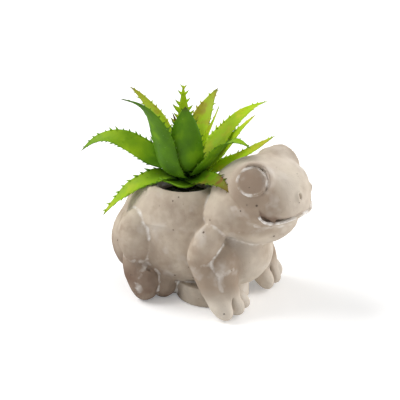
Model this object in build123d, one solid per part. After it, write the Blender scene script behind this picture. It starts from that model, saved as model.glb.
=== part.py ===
from build123d import *
import math
import os

# Frog planter with an artificial aloe. Millimetres, +Z up. The frog looks along +X and its left side is +Y.
# The origin lies on the floor, straight below the axis of the planting hole.

# Frog: the overall sizes that its rounded masses follow
frog_length = 150.0
frog_width = 80.0
frog_height = 115.0
frog_sizes = (frog_length, frog_width, frog_height)

# Planting hole and rim
hole_radius = 20.5
hole_bottom = 14.0
rim_height = 82.0
rim_round = 2.0
neck_wall = 7.0
neck_round = 6.0
neck_depth = 20.0
neck_spread = 7.0

# Flat round base under the chest, and the felt pads let into it
base_radius = 26.0
base_center_x = 22.0
base_height = 14.0
pad_radius = 5.0
pad_thickness = 1.5
pad_proud = 0.5
pad_spread = 14.0
pad_clearance = 0.15

# Eyes, mouth and nostrils
eye_radius = 11.0
eye_ring_thickness = 1.8
eye_boss_depth = 8.0
eye_boss_spread = 4.0
eye_dome_height = 1.6
mouth_groove = 2.0
mouth_tilt = 9.0
nostril_radius = 1.5

# Foam plug, with its bore for the stem
foam_clearance = 0.3
foam_drop = 12.0
bore_clearance = 0.3
bore_depth = 34.0

# Plant core: wire, sleeve, collar and hub
wire_radius = 1.0
wire_clearance = 0.1
sleeve_radius = 3.5
sleeve_neck_radius = 2.6
collar_radius = 8.6
collar_thickness = 5.0
collar_round = 1.5
hub_height = 19.5
hub_bottom_radius = 5.6
hub_top_radius = 4.0
fit_clearance = 0.1

# Leaves: pegs, blades and the rings that they stand in, counted from the collar upwards
peg_radius = 0.9
peg_length = 1.6
peg_clearance = 0.12
blade_thickness = 2.0
root_width = 4.4
root_taper = 8
root_gap = 0.35
first_ring_height = 2.2
ring_step = 3.7
heart_length = 34.0
heart_width = 6.0
heart_count = 3

# What every cut overruns its solid by
overrun = 1.0

# Masses on the middle plane: centre and radii as shares of the frog's length, width and height, and a nose-up tilt
middle_mass_shares = {
    "trunk": ((-0.013, 0.0, 0.400), (0.300, 0.435, 0.357), 0.0),
    "back": ((0.000, 0.0, 0.530), (0.253, 0.400, 0.190), 0.0),
    "rump": ((-0.193, 0.0, 0.296), (0.173, 0.375, 0.243), 0.0),
    "chest": ((0.227, 0.0, 0.330), (0.213, 0.362, 0.230), 0.0),
    "jaw": ((0.387, 0.0, 0.609), (0.200, 0.350, 0.200), 0.0),
    "muzzle": ((0.427, 0.0, 0.696), (0.190, 0.388, 0.139), 0.0),
    "skull": ((0.383, 0.0, 0.739), (0.233, 0.362, 0.209), 14.0),
}

# Masses that stand on both sides, given for the left one
side_mass_shares = {
    "haunch": ((-0.153, 0.330, 0.396), (0.097, 0.178, 0.178)),
    "heel": ((-0.113, 0.388, 0.117), (0.073, 0.135, 0.122)),
    "middle_toe": ((-0.047, 0.285, 0.096), (0.070, 0.125, 0.104)),
    "inner_toe": ((-0.013, 0.165, 0.078), (0.060, 0.112, 0.083)),
    "jowl": ((0.287, 0.212, 0.626), (0.113, 0.219, 0.139)),
    "brow": ((0.430, 0.244, 0.883), (0.078, 0.165, 0.109)),
}

# Legs and arms, given for the left side: points of the limb, and thickness as shares of the width
knee_share = (-0.167, 0.375, 0.261)
ankle_share = (-0.113, 0.412, 0.104)
shin_thickness_share = 0.119
shoulder_share = (0.247, 0.388, 0.565)
elbow_share = (0.191, 0.438, 0.370)
wrist_share = (0.287, 0.412, 0.104)
upper_arm_thickness_share = 0.125
forearm_thickness_share = 0.106
muscle_share = (0.280, 0.335, 0.335)
muscle_radius_shares = (0.065, 0.115, 0.117)
palm_share = (0.047, -0.088, -0.017)
palm_thickness_share = 0.112
left_hand_step_share = (0.020, 0.110, 0.0)
limb_overlap = 0.8

# Fingers: start and end from the wrist, and thickness
finger_shares = (
    ((-0.013, 0.000, 0.009), (0.047, -0.038, -0.048), 0.081),
    ((0.020, -0.088, 0.009), (0.083, -0.150, -0.057), 0.072),
    ((0.033, -0.188, 0.000), (0.080, -0.262, -0.065), 0.062),
)

# The eye's middle, and the way it looks; the mouth's place; the nostrils' place
eye_share = (0.440, 0.338, 0.905)
eye_direction = (0.13, 0.93, 0.33)
mouth_center_shares = (0.427, 0.0, 0.706)
mouth_radius_shares = (0.190, 0.372)
mouth_corner_share = 0.487
nostril_share = (0.603, 0.080, 0.790)

# The casting's two solids meet on a plane from the crease behind the skull to the crease under the jaw
nape_share = (0.160, 0.0, 0.757)
throat_share = (0.440, 0.0, 0.357)

# Leaves: ring, heading in degrees from the nose, roll in degrees, length, width, and the blade's course as shares of
# the length, outwards and upwards from its root: two guiding points and the tip
leaf_plan = {
    "leaf_low_right_rear": (0, 214, -15, 64, 15, ((0.26, 0.06), (0.54, -0.03), (0.81, -0.38))),
    "leaf_low_right_front": (0, 330, 30, 54, 13, ((0.30, 0.09), (0.66, 0.29), (0.94, 0.13))),
    "leaf_low_left_front": (0, 32, 8, 70, 14, ((0.26, 0.03), (0.54, 0.23), (0.82, 0.41))),
    "leaf_low_left": (0, 96, 0, 60, 15, ((0.36, 0.10), (0.70, 0.22), (0.88, -0.02))),
    "leaf_low_rear": (0, 150, 0, 46, 14, ((0.36, 0.10), (0.66, 0.20), (0.86, 0.00))),
    "leaf_outer_right": (1, 250, 0, 84, 22, ((0.30, 0.00), (0.04, 0.60), (0.60, 0.78))),
    "leaf_outer_front": (1, 352, 0, 66, 18, ((0.30, 0.02), (0.34, 0.62), (0.74, 0.44))),
    "leaf_outer_left": (1, 47, 0, 68, 15, ((0.34, 0.00), (0.34, 0.28), (0.70, 0.53))),
    "leaf_outer_left_rear": (1, 106, 0, 60, 15, ((0.30, 0.00), (0.42, 0.34), (0.76, 0.38))),
    "leaf_middle_rear": (2, 190, -40, 88, 17, ((0.28, 0.00), (0.50, 0.41), (0.82, 0.04))),
    "leaf_middle_right": (2, 300, 0, 62, 24, ((0.26, 0.00), (0.20, 0.50), (0.24, 0.82))),
    "leaf_middle_left": (2, 64, 0, 88, 18, ((0.28, 0.00), (0.36, 0.38), (0.78, 0.375))),
    "leaf_middle_left_rear": (2, 140, 0, 62, 15, ((0.32, 0.02), (0.42, 0.30), (0.76, 0.26))),
    "leaf_upper_rear": (3, 164, 0, 78, 16, ((0.18, 0.06), (0.22, 0.42), (0.62, 0.55))),
    "leaf_upper_left": (3, 84, 0, 62, 17, ((0.18, 0.06), (0.18, 0.48), (0.61, 0.68))),
    "leaf_top_front": (4, 12, 0, 50, 12, ((0.16, 0.06), (0.26, 0.44), (0.40, 0.78))),
    "leaf_top_rear": (4, 120, 0, 56, 11, ((0.14, 0.10), (0.14, 0.50), (0.30, 0.81))),
}

# Where the blade's cross-sections stand along its course, and how wide and how hollow each one is
section_place_shares = (0.0, 0.07, 0.16, 0.27, 0.40, 0.54, 0.68, 0.81, 0.92, 1.0)
section_width_shares = (0.0, 0.50, 0.88, 1.0, 1.0, 0.88, 0.68, 0.45, 0.22, 0.04)
section_hollow_shares = (0.0, 0.10, 0.24, 0.30, 0.30, 0.28, 0.26, 0.24, 0.20, 0.10)
tip_thickness_share = 0.35
heart_course_shares = ((0.00, 0.22), (0.08, 0.60), (0.24, 0.96))
heart_root_share = 0.72
heart_shrink_share = 0.12
heart_heading = 250

# Places worked out from the sizes above
floor_gap = pad_proud
foam_radius = hole_radius - foam_clearance
foam_top = rim_height - foam_drop
bore_radius = sleeve_radius + bore_clearance
bore_bottom = foam_top - bore_depth
hub_bottom = rim_height
collar_bottom = hub_bottom - collar_thickness
hub_top = hub_bottom + hub_height
wire_bottom = bore_bottom + wire_radius
wire_top = hub_top - wire_radius


def spot(shares, side=1.0):
    """A point of the frog from its shares, on the left side or, with side -1, on the right."""
    x, y, z = (share * size for share, size in zip(shares, frog_sizes))
    return Vector(x, side * y, z)


def ellipsoid(center, radii, tilt=0.0):
    return Pos(*center) * Rot(0.0, -tilt, 0.0) * scale(Sphere(1.0), by=tuple(radii))


def limb(start, end, radius):
    """A long ellipsoid from one point to another, reaching past both of them."""
    half = (end - start).length / 2.0 + limb_overlap * radius
    middle = Plane(origin=(start + end) / 2.0, z_dir=end - start)
    return middle.location * scale(Sphere(1.0), by=(radius, radius, half))


def column(radius, bottom, top, x=0.0, y=0.0):
    """An upright cylinder between two heights."""
    base = (Align.CENTER, Align.CENTER, Align.MIN)
    return Pos(x, y, bottom) * Cylinder(radius, top - bottom, align=base)


def middle_masses():
    """The rounded masses on the frog's middle plane."""
    return [ellipsoid(spot(center), spot(radii), tilt) for center, radii, tilt in middle_mass_shares.values()]


def side_masses(side):
    """The rounded masses and the hind leg of one side."""
    parts = [ellipsoid(spot(center, side), spot(radii)) for center, radii in side_mass_shares.values()]
    parts.append(limb(spot(knee_share, side), spot(ankle_share, side), shin_thickness_share * frog_width))
    return parts


def arm(side):
    """One arm with its three fingers; the left hand stands a little further out."""
    step = spot(left_hand_step_share) if side > 0.0 else Vector()
    shoulder = spot(shoulder_share, side)
    elbow = spot(elbow_share, side) + step / 2.0
    wrist = spot(wrist_share, side) + step
    muscle = spot(muscle_share, side) + step / 2.0
    palm = wrist + spot(palm_share, side)
    parts = [
        limb(shoulder, elbow, upper_arm_thickness_share * frog_width),
        limb(elbow, wrist, forearm_thickness_share * frog_width),
        ellipsoid(muscle, spot(muscle_radius_shares)),
        limb(muscle, palm, palm_thickness_share * frog_width),
    ]
    for start, end, thickness in finger_shares:
        parts.append(limb(wrist + spot(start, side), wrist + spot(end, side), thickness * frog_width))
    return parts


def eye(side):
    """A round boss with a low dome, and the raised ring round it."""
    x, y, z = eye_direction
    look = Plane(origin=spot(eye_share, side), z_dir=(x, side * y, z))
    boss_radius = eye_radius + eye_ring_thickness / 2.0
    inwards = (Align.CENTER, Align.CENTER, Align.MAX)
    boss = look.location * Cone(boss_radius + eye_boss_spread, boss_radius, eye_boss_depth, align=inwards)
    dome = look.location * scale(Sphere(1.0), by=(eye_radius, eye_radius, eye_dome_height))
    ring = look.location * Torus(eye_radius, eye_ring_thickness / 2.0)
    return [boss, dome, ring]


def mouth():
    """The groove under the upper lip, from one corner round the front to the other."""
    share_x, share_y = mouth_radius_shares
    radius_x = share_x * frog_length
    radius_y = share_y * frog_width
    ring = scale(Torus(radius_x, mouth_groove / 2.0), by=(1.0, radius_y / radius_x, 1.0))
    front = mouth_corner_share * frog_length
    keep = Pos(front, 0.0, 0.0) * Box(
        frog_length, 2.0 * frog_width, 2.0 * frog_height, align=(Align.MIN, Align.CENTER, Align.MIN)
    )
    return Pos(*spot(mouth_center_shares)) * Rot(0.0, mouth_tilt, 0.0) * ring & keep


def neck():
    """The low round shoulder that carries the rim."""
    bottom = (Align.CENTER, Align.CENTER, Align.MIN)
    radius = hole_radius + neck_wall
    shoulder = Cone(radius + neck_spread, radius, neck_depth, align=bottom)
    shoulder = fillet(shoulder.edges().group_by(Axis.Z)[-1], neck_round)
    return Pos(0.0, 0.0, rim_height - neck_depth) * shoulder


def frog_casting():
    """The cement casting: masses, rim, base, eyes and mouth, with the planting hole and the pad pockets cut in."""
    groups = [middle_masses()]
    for build_side in (side_masses, eye, arm):
        groups += [build_side(1.0), build_side(-1.0)]
    groups.append([neck(), column(base_radius, floor_gap, base_height, base_center_x)])
    body = None
    for group in groups:
        body = body.fuse(*group) if body else group[0].fuse(*group[1:])
    below = Pos(0.0, 0.0, floor_gap) * Box(
        2.0 * frog_length, 2.0 * frog_width, frog_height, align=(Align.CENTER, Align.CENTER, Align.MAX)
    )
    above = column(hole_radius + neck_wall, rim_height, frog_height)
    hole = column(hole_radius, hole_bottom, rim_height + overrun).fuse(rim_cutter())
    nostrils = [Pos(*spot(nostril_share, side)) * Sphere(nostril_radius) for side in (1.0, -1.0)]
    body = body.cut(below, above, hole, mouth(), *nostrils)
    pockets = [
        column(pad_radius + pad_clearance, floor_gap - overrun, pad_thickness, x, y) for x, y in pad_places()
    ]
    return body.cut(*pockets)


def frog_solids():
    """The casting as a body and a head that meet face to face on the plane through the neck."""
    nape = spot(nape_share)
    throat = spot(throat_share)
    to_head = Vector(nape.Z - throat.Z, 0.0, throat.X - nape.X)
    seam = Plane(origin=nape, x_dir=(0.0, 1.0, 0.0), z_dir=to_head)
    casting = frog_casting()
    return {
        "frog_body": split(casting, bisect_by=seam, keep=Keep.BOTTOM),
        "frog_head": split(casting, bisect_by=seam, keep=Keep.TOP),
    }


def rim_cutter():
    """What is cut from the planting hole's top edge to leave it round."""
    outer = hole_radius + rim_round
    low = rim_height - rim_round
    return column(outer, low, rim_height + overrun) - Pos(0.0, 0.0, low) * Torus(outer, rim_round)


def pad_places():
    return [(base_center_x + x, y) for x in (-pad_spread, pad_spread) for y in (-pad_spread, pad_spread)]


def pads():
    """The four felt pads, each seated in its pocket."""
    names = ("felt_pad_rear_right", "felt_pad_rear_left", "felt_pad_front_right", "felt_pad_front_left")
    return {name: column(pad_radius, 0.0, pad_thickness, x, y) for name, (x, y) in zip(names, pad_places())}


def foam_plug():
    plug = column(foam_radius, hole_bottom, foam_top)
    return plug - column(bore_radius, bore_bottom, foam_top + overrun)


def core_bore(bottom, top):
    return column(wire_radius + wire_clearance, bottom, top)


def stem_sleeve():
    """The thick stem that stands in the foam, with a thinner neck through the collar and the hub."""
    thick = column(sleeve_radius, bore_bottom, collar_bottom)
    neck = column(sleeve_neck_radius, collar_bottom, hub_bottom + first_ring_height)
    return thick.fuse(neck) - core_bore(wire_bottom, hub_bottom + hub_height)


def stem_collar():
    ring = column(collar_radius, collar_bottom, hub_bottom)
    ring = fillet(ring.edges().group_by(Axis.Z)[0], collar_round)
    return ring - column(sleeve_neck_radius + fit_clearance, collar_bottom - overrun, hub_bottom + overrun)


def hub_radius(height):
    """The hub's outer radius at a height above the collar."""
    return hub_bottom_radius + (hub_top_radius - hub_bottom_radius) * height / hub_height


def ring_height(ring):
    return hub_bottom + first_ring_height + ring * ring_step


def leaf_root(ring):
    """How far from the axis a ring's blades start."""
    return hub_radius(ring_height(ring) - hub_bottom) + root_gap


def outwards(heading):
    return Vector(math.cos(math.radians(heading)), math.sin(math.radians(heading)), 0.0)


def peg(heading, root, height, radius, start):
    """A round peg from inside the hub out to a point just past the blade's root."""
    away = outwards(heading)
    foot = Plane(origin=away * start + Vector(0.0, 0.0, height), z_dir=away)
    return foot.location * Cylinder(radius, root - start, align=(Align.CENTER, Align.CENTER, Align.MIN))


def leaf_hub():
    """The tapered core, bored for the wire and the sleeve's neck, with a socket for each leaf's peg."""
    base = (Align.CENTER, Align.CENTER, Align.MIN)
    hub = Pos(0.0, 0.0, hub_bottom) * Cone(hub_bottom_radius, hub_top_radius, hub_height, align=base)
    neck_top = hub_bottom + first_ring_height
    hub -= column(sleeve_neck_radius + fit_clearance, hub_bottom - overrun, neck_top)
    hub -= core_bore(neck_top - overrun, wire_top)
    sockets = []
    for ring, heading, _roll, _length, _width, _course in leaf_plan.values():
        start = leaf_root(ring) - peg_length - peg_clearance
        sockets.append(peg(heading, leaf_root(ring), ring_height(ring), peg_radius + peg_clearance, start))
    return hub.cut(*sockets)


def bezier(points, t):
    """A point of the cubic curve through four guiding points."""
    a, b, c, d = points
    return a * (1 - t) ** 3 + b * 3 * (1 - t) ** 2 * t + c * 3 * (1 - t) * t**2 + d * t**3


def bezier_slope(points, t):
    a, b, c, d = points
    return ((b - a) * (1 - t) ** 2 + (c - b) * 2 * (1 - t) * t + (d - c) * t**2).normalized()


def blade_section(points, heading, roll, t, width, thickness, hollow):
    """One hollowed cross-section of a blade, square to its course."""
    slope = bezier_slope(points, t)
    across = Vector(0.0, 0.0, 1.0).cross(outwards(heading)).rotate(Axis((0, 0, 0), slope), roll)
    across = (across - slope * across.dot(slope)).normalized()
    frame = Plane(origin=bezier(points, t), x_dir=across, z_dir=slope)
    half = width / 2.0
    rise = hollow * half
    inner = ThreePointArc((-half, rise), (0.0, thickness / 2.0), (half, rise))
    outer = ThreePointArc((half, rise), (0.0, -thickness / 2.0), (-half, rise))
    return frame.location * make_face(Wire([inner, outer]))


def blade(heading, roll, length, width, course, root, height):
    """A pointed, hollow leaf blade along its course from its root."""
    away = outwards(heading)
    start = away * root + Vector(0.0, 0.0, height)
    points = [start] + [start + away * (x * length) + Vector(0.0, 0.0, z * length) for x, z in course]
    sections = []
    for t, wide, hollow in zip(section_place_shares, section_width_shares, section_hollow_shares):
        thickness = blade_thickness * (1.0 - (1.0 - tip_thickness_share) * t)
        here = max(wide * width, root_width * (1.0 - t) ** root_taper)
        turn = roll * min(1.0, t / section_place_shares[3])
        sections.append(blade_section(points, heading, turn, t, here, thickness, hollow))
    return loft(sections)


def leaf(ring, heading, roll, length, width, course):
    """A blade with the peg that holds it in the hub."""
    root = leaf_root(ring)
    height = ring_height(ring)
    body = blade(heading, roll, length, width, course, root, height)
    holder = peg(heading, root + peg_radius, height, peg_radius, root - peg_length)
    return body.fuse(holder)


def heart_leaves():
    """The small leaves at the top, standing on the hub's end."""
    leaves = {}
    root = heart_root_share * hub_top_radius
    for index in range(heart_count):
        heading = heart_heading + index * 360.0 / heart_count
        length = heart_length * (1.0 - index * heart_shrink_share)
        leaves[f"heart_leaf_{index + 1}"] = blade(
            heading, 0.0, length, heart_width, heart_course_shares, root, hub_top
        )
    return leaves


def build():
    nodes = frog_solids()
    nodes.update(pads())
    nodes["foam_plug"] = foam_plug()
    nodes["stem_sleeve"] = stem_sleeve()
    nodes["stem_wire"] = column(wire_radius, wire_bottom, wire_top)
    nodes["stem_collar"] = stem_collar()
    nodes["leaf_hub"] = leaf_hub()
    for name, plan in leaf_plan.items():
        nodes[name] = leaf(*plan)
    nodes.update(heart_leaves())
    return nodes


os.makedirs("parts", exist_ok=True)
for name, solid in build().items():
    export_step(solid, f"parts/{name}.step")
    print(name, round(solid.volume), solid.is_valid)
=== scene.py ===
import logging
import math
from collections.abc import Callable, Sequence
from dataclasses import dataclass, field
from enum import Enum
from typing import NamedTuple

import bmesh
import bpy
import numpy as np
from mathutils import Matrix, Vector


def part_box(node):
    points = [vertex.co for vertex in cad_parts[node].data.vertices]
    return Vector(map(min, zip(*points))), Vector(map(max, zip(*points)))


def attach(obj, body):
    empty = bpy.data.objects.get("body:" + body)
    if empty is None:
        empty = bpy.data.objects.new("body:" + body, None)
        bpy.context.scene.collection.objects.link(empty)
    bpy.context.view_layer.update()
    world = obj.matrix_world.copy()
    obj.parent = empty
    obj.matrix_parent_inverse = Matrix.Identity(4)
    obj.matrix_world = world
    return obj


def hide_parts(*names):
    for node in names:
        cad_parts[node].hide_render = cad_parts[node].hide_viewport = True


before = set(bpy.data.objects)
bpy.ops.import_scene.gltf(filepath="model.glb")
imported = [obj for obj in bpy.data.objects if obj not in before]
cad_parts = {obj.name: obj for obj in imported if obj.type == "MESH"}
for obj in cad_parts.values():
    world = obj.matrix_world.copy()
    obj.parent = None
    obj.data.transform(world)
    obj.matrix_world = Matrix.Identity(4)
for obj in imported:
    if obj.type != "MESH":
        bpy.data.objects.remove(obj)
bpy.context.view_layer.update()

MM = 0.001
FROG_SIZES = (150.0, 80.0, 115.0)

Array = np.ndarray
Pair = tuple[float, float]
Triple = tuple[float, float, float]
Colour = tuple[float, float, float, float]
Socket = bpy.types.NodeSocket
Inputs = dict[str | int, object]
Material = bpy.types.Material
log = logging.getLogger("frog_planter")


def screen_colour(red: int, green: int, blue: int) -> Colour:
    """Turns a colour as it is seen on a screen, from 0 to 255, into Blender's linear colour.

    Args:
        red: The red share.
        green: The green share.
        blue: The blue share.

    Returns:
        The linear colour, which covers fully.
    """
    shares = [value / 255.0 for value in (red, green, blue)]
    linear = [share / 12.92 if share <= 0.04045 else ((share + 0.055) / 1.055) ** 2.4 for share in shares]
    return (linear[0], linear[1], linear[2], 1.0)


class NodeBench:
    """Adds nodes to one node tree, with short calls for the usual ones."""

    def __init__(self, tree: bpy.types.NodeTree) -> None:
        """Keeps the tree that the nodes go into."""
        self.tree = tree

    def add(self, kind: str, inputs: Inputs | None = None, **settings: object) -> bpy.types.Node:
        """Adds one node.

        Args:
            kind: The node's type name.
            inputs: What each input gets. A socket is linked to it, and anything else is set on it.
            settings: Properties of the node itself.

        Returns:
            The new node.
        """
        node = self.tree.nodes.new(kind)
        for name, value in settings.items():
            setattr(node, name, value)
        for key, value in (inputs or {}).items():
            if isinstance(value, Socket):
                self.tree.links.new(value, node.inputs[key])
            else:
                node.inputs[key].default_value = value
        return node

    def math(self, operation: str, first: object, *others: object) -> Socket:
        """Returns the result of Math nodes of one kind, from the first value or socket to the last.

        Args:
            operation: The nodes' operation.
            first: The first value.
            others: The values after it.

        Returns:
            The result's socket.
        """
        result = first
        for other in others or (0.0,):
            result = self.add("ShaderNodeMath", {0: result, 1: other}, operation=operation).outputs[0]
        return result

    def times(self, *values: object) -> Socket:
        """Returns the product of values and sockets."""
        return self.math("MULTIPLY", *values)

    def plus(self, *values: object) -> Socket:
        """Returns the sum of values and sockets."""
        return self.math("ADD", *values)

    def minus(self, *values: object) -> Socket:
        """Returns the first value or socket less the others."""
        return self.math("SUBTRACT", *values)

    def mix(self, share: object, first: object, second: object) -> Socket:
        """Returns two colours mixed by a share."""
        return self.add("ShaderNodeMix", {0: share, 6: first, 7: second}, data_type="RGBA").outputs[2]

    def remap(
        self, value: Socket, low: object, high: object, least: float = 0.0, most: float = 1.0
    ) -> Socket:
        """Returns a value moved from one range to another, and held inside it."""
        inputs = {"Value": value, "From Min": low, "From Max": high, "To Min": least, "To Max": most}
        return self.add("ShaderNodeMapRange", inputs).outputs["Result"]

    def noise(self, vector: object, scale: object, detail: float) -> Socket:
        """Returns the value of a Noise Texture at a vector."""
        inputs = {"Vector": vector, "Scale": scale, "Detail": detail}
        return self.add("ShaderNodeTexNoise", inputs).outputs["Fac"]

    def attribute(self, name: str) -> Socket:
        """Returns the value of one of the piece's own attributes."""
        return self.add("ShaderNodeAttribute", attribute_name=name).outputs["Fac"]


@dataclass(frozen=True)
class EffectGroup:
    """A shader node group with named inputs and one output, used by more than one finish."""

    name: str
    inputs: dict[str, float]
    output: str
    wire_up: Callable[[NodeBench, dict[str, Socket]], Socket]

    def tree(self) -> bpy.types.NodeTree:
        """Returns the group's tree, which is built on the first call.

        Returns:
            The group's node tree.
        """
        if self.name in bpy.data.node_groups:
            return bpy.data.node_groups[self.name]
        tree = bpy.data.node_groups.new(self.name, "ShaderNodeTree")
        tree.interface.new_socket("Vector", in_out="INPUT", socket_type="NodeSocketVector")
        for label, value in self.inputs.items():
            socket = tree.interface.new_socket(label, in_out="INPUT", socket_type="NodeSocketFloat")
            socket.default_value = value
        tree.interface.new_socket(self.output, in_out="OUTPUT", socket_type="NodeSocketFloat")
        bench = NodeBench(tree)
        entry = bench.add("NodeGroupInput")
        result = self.wire_up(bench, {socket.name: socket for socket in entry.outputs if socket.name})
        bench.add("NodeGroupOutput", {self.output: result})
        return tree

    def place(self, bench: NodeBench, vector: Socket, *values: float) -> Socket:
        """Places the group in a material, with its inputs in their order, and returns its output."""
        inputs = {"Vector": vector} | dict(zip(self.inputs, values, strict=True))
        return bench.add("ShaderNodeGroup", inputs, node_tree=self.tree()).outputs[self.output]


def wire_clouds(bench: NodeBench, entry: dict[str, Socket]) -> Socket:
    """Soft patches: noise that rises from 0 to 1 between two levels."""
    value = bench.noise(entry["Vector"], entry["Scale"], detail=3.0)
    return bench.remap(value, entry["Low"], entry["High"])


def wire_specks(bench: NodeBench, entry: dict[str, Socket]) -> Socket:
    """Round specks of one size with soft edges, in a share of the cells of a Voronoi pattern.

    Args:
        bench: The group's bench.
        entry: The group's inputs by name.

    Returns:
        The specks' mask.
    """
    softness = 0.35
    cells = bench.add("ShaderNodeTexVoronoi", {"Vector": entry["Vector"], "Scale": entry["Scale"]})
    random = bench.add("ShaderNodeSeparateColor", {"Color": cells.outputs["Color"]}).outputs["Red"]
    chosen = bench.math("LESS_THAN", random, entry["Share"])
    edge = bench.math("DIVIDE", bench.times(random, entry["Size"]), entry["Share"])
    near = bench.minus(edge, cells.outputs["Distance"])
    soft = bench.math("DIVIDE", near, bench.times(entry["Size"], softness))
    return bench.times(bench.remap(soft, 0.0, 1.0), chosen)


def wire_grain(bench: NodeBench, entry: dict[str, Socket]) -> Socket:
    """A rough surface's height: broad lumps with fine grain on them, about 0 in the middle.

    Args:
        bench: The group's bench.
        entry: The group's inputs by name.

    Returns:
        The height.
    """
    middle = 0.5
    finer = 6.0
    broad = bench.minus(bench.noise(entry["Vector"], entry["Scale"], detail=2.0), middle)
    fine_scale = bench.times(entry["Scale"], finer)
    fine = bench.minus(bench.noise(entry["Vector"], fine_scale, detail=4.0), middle)
    return bench.plus(broad, bench.times(fine, entry["Fineness"]))


CLOUDS = EffectGroup("soft_clouds", {"Scale": 40.0, "Low": 0.4, "High": 0.6}, "Mask", wire_clouds)
SPECKS = EffectGroup("round_specks", {"Scale": 300.0, "Size": 0.3, "Share": 0.2}, "Mask", wire_specks)
GRAIN = EffectGroup("rough_grain", {"Scale": 200.0, "Fineness": 0.5}, "Height", wire_grain)


class Dresser:
    """Starts a material and finishes it on its Principled BSDF."""

    def __init__(self, name: str) -> None:
        """Makes the material, with its own coordinates ready to read.

        Args:
            name: The material's name.
        """
        self.material = bpy.data.materials.new(name)
        self.material.use_nodes = True
        self.bench = NodeBench(self.material.node_tree)
        self.shader = self.material.node_tree.nodes["Principled BSDF"]
        self.place = self.bench.add("ShaderNodeTexCoord").outputs["Object"]

    def clouds(self, levels: Triple) -> Socket:
        """Returns soft patches from their scale and the two levels of the noise between which they rise."""
        return CLOUDS.place(self.bench, self.place, *levels)

    def specks(self, sizes: Triple) -> Socket:
        """Returns round specks from their scale, their size and the share of places that have one."""
        return SPECKS.place(self.bench, self.place, *sizes)

    def grain(self, sizes: Pair) -> Socket:
        """Returns a rough surface's height from its scale and how strong its fine grain is."""
        return GRAIN.place(self.bench, self.place, *sizes)

    def connect(self, **sockets: Socket) -> None:
        """Links sockets to the shader's own ones, with _ for a space in their names."""
        for label, socket in sockets.items():
            self.bench.tree.links.new(socket, self.shader.inputs[label.replace("_", " ")])

    def set(self, **values: float) -> None:
        """Sets constants on the shader's own sockets, with _ for a space in their names."""
        for label, value in values.items():
            self.shader.inputs[label.replace("_", " ")].default_value = value

    def finish(
        self, colour: Socket, roughness: Socket, height: Socket, depth: float, **others: float
    ) -> Material:
        """Finishes the material.

        Args:
            colour: The surface's colour.
            roughness: Its roughness.
            height: The height of its relief, from about 0 to 1.
            depth: How many metres a height of 1 stands for.
            others: Constants for the shader's other sockets.

        Returns:
            The material.
        """
        bump = self.bench.add("ShaderNodeBump", {"Height": height, "Strength": 1.0, "Distance": depth})
        self.connect(Base_Color=colour, Roughness=roughness, Normal=bump.outputs["Normal"])
        self.set(**others)
        return self.material


# Where on the frog a zone starts and where it is full, in metres along an axis, with Y on both sides alike.
# The zones carry painted light and painted shade, and some brown dirt low at the rear.
CEMENT_ZONES: dict[str, tuple[tuple[str, float, float], ...]] = {
    "low_down": (("Z", 0.050, 0.010), ("X", 0.012, -0.008)),
    "outer": (("Y", 0.016, 0.027),),
    "front": (("X", 0.030, 0.075),),
    "limbs": (("Z", 0.056, 0.042), ("X", 0.012, 0.026), ("Z", 0.012, 0.024)),
    "cheeks": (("X", 0.047, 0.058), ("Z", 0.056, 0.064)),
    "hands": (("Z", 0.026, 0.012), ("X", 0.026, 0.040)),
}


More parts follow.
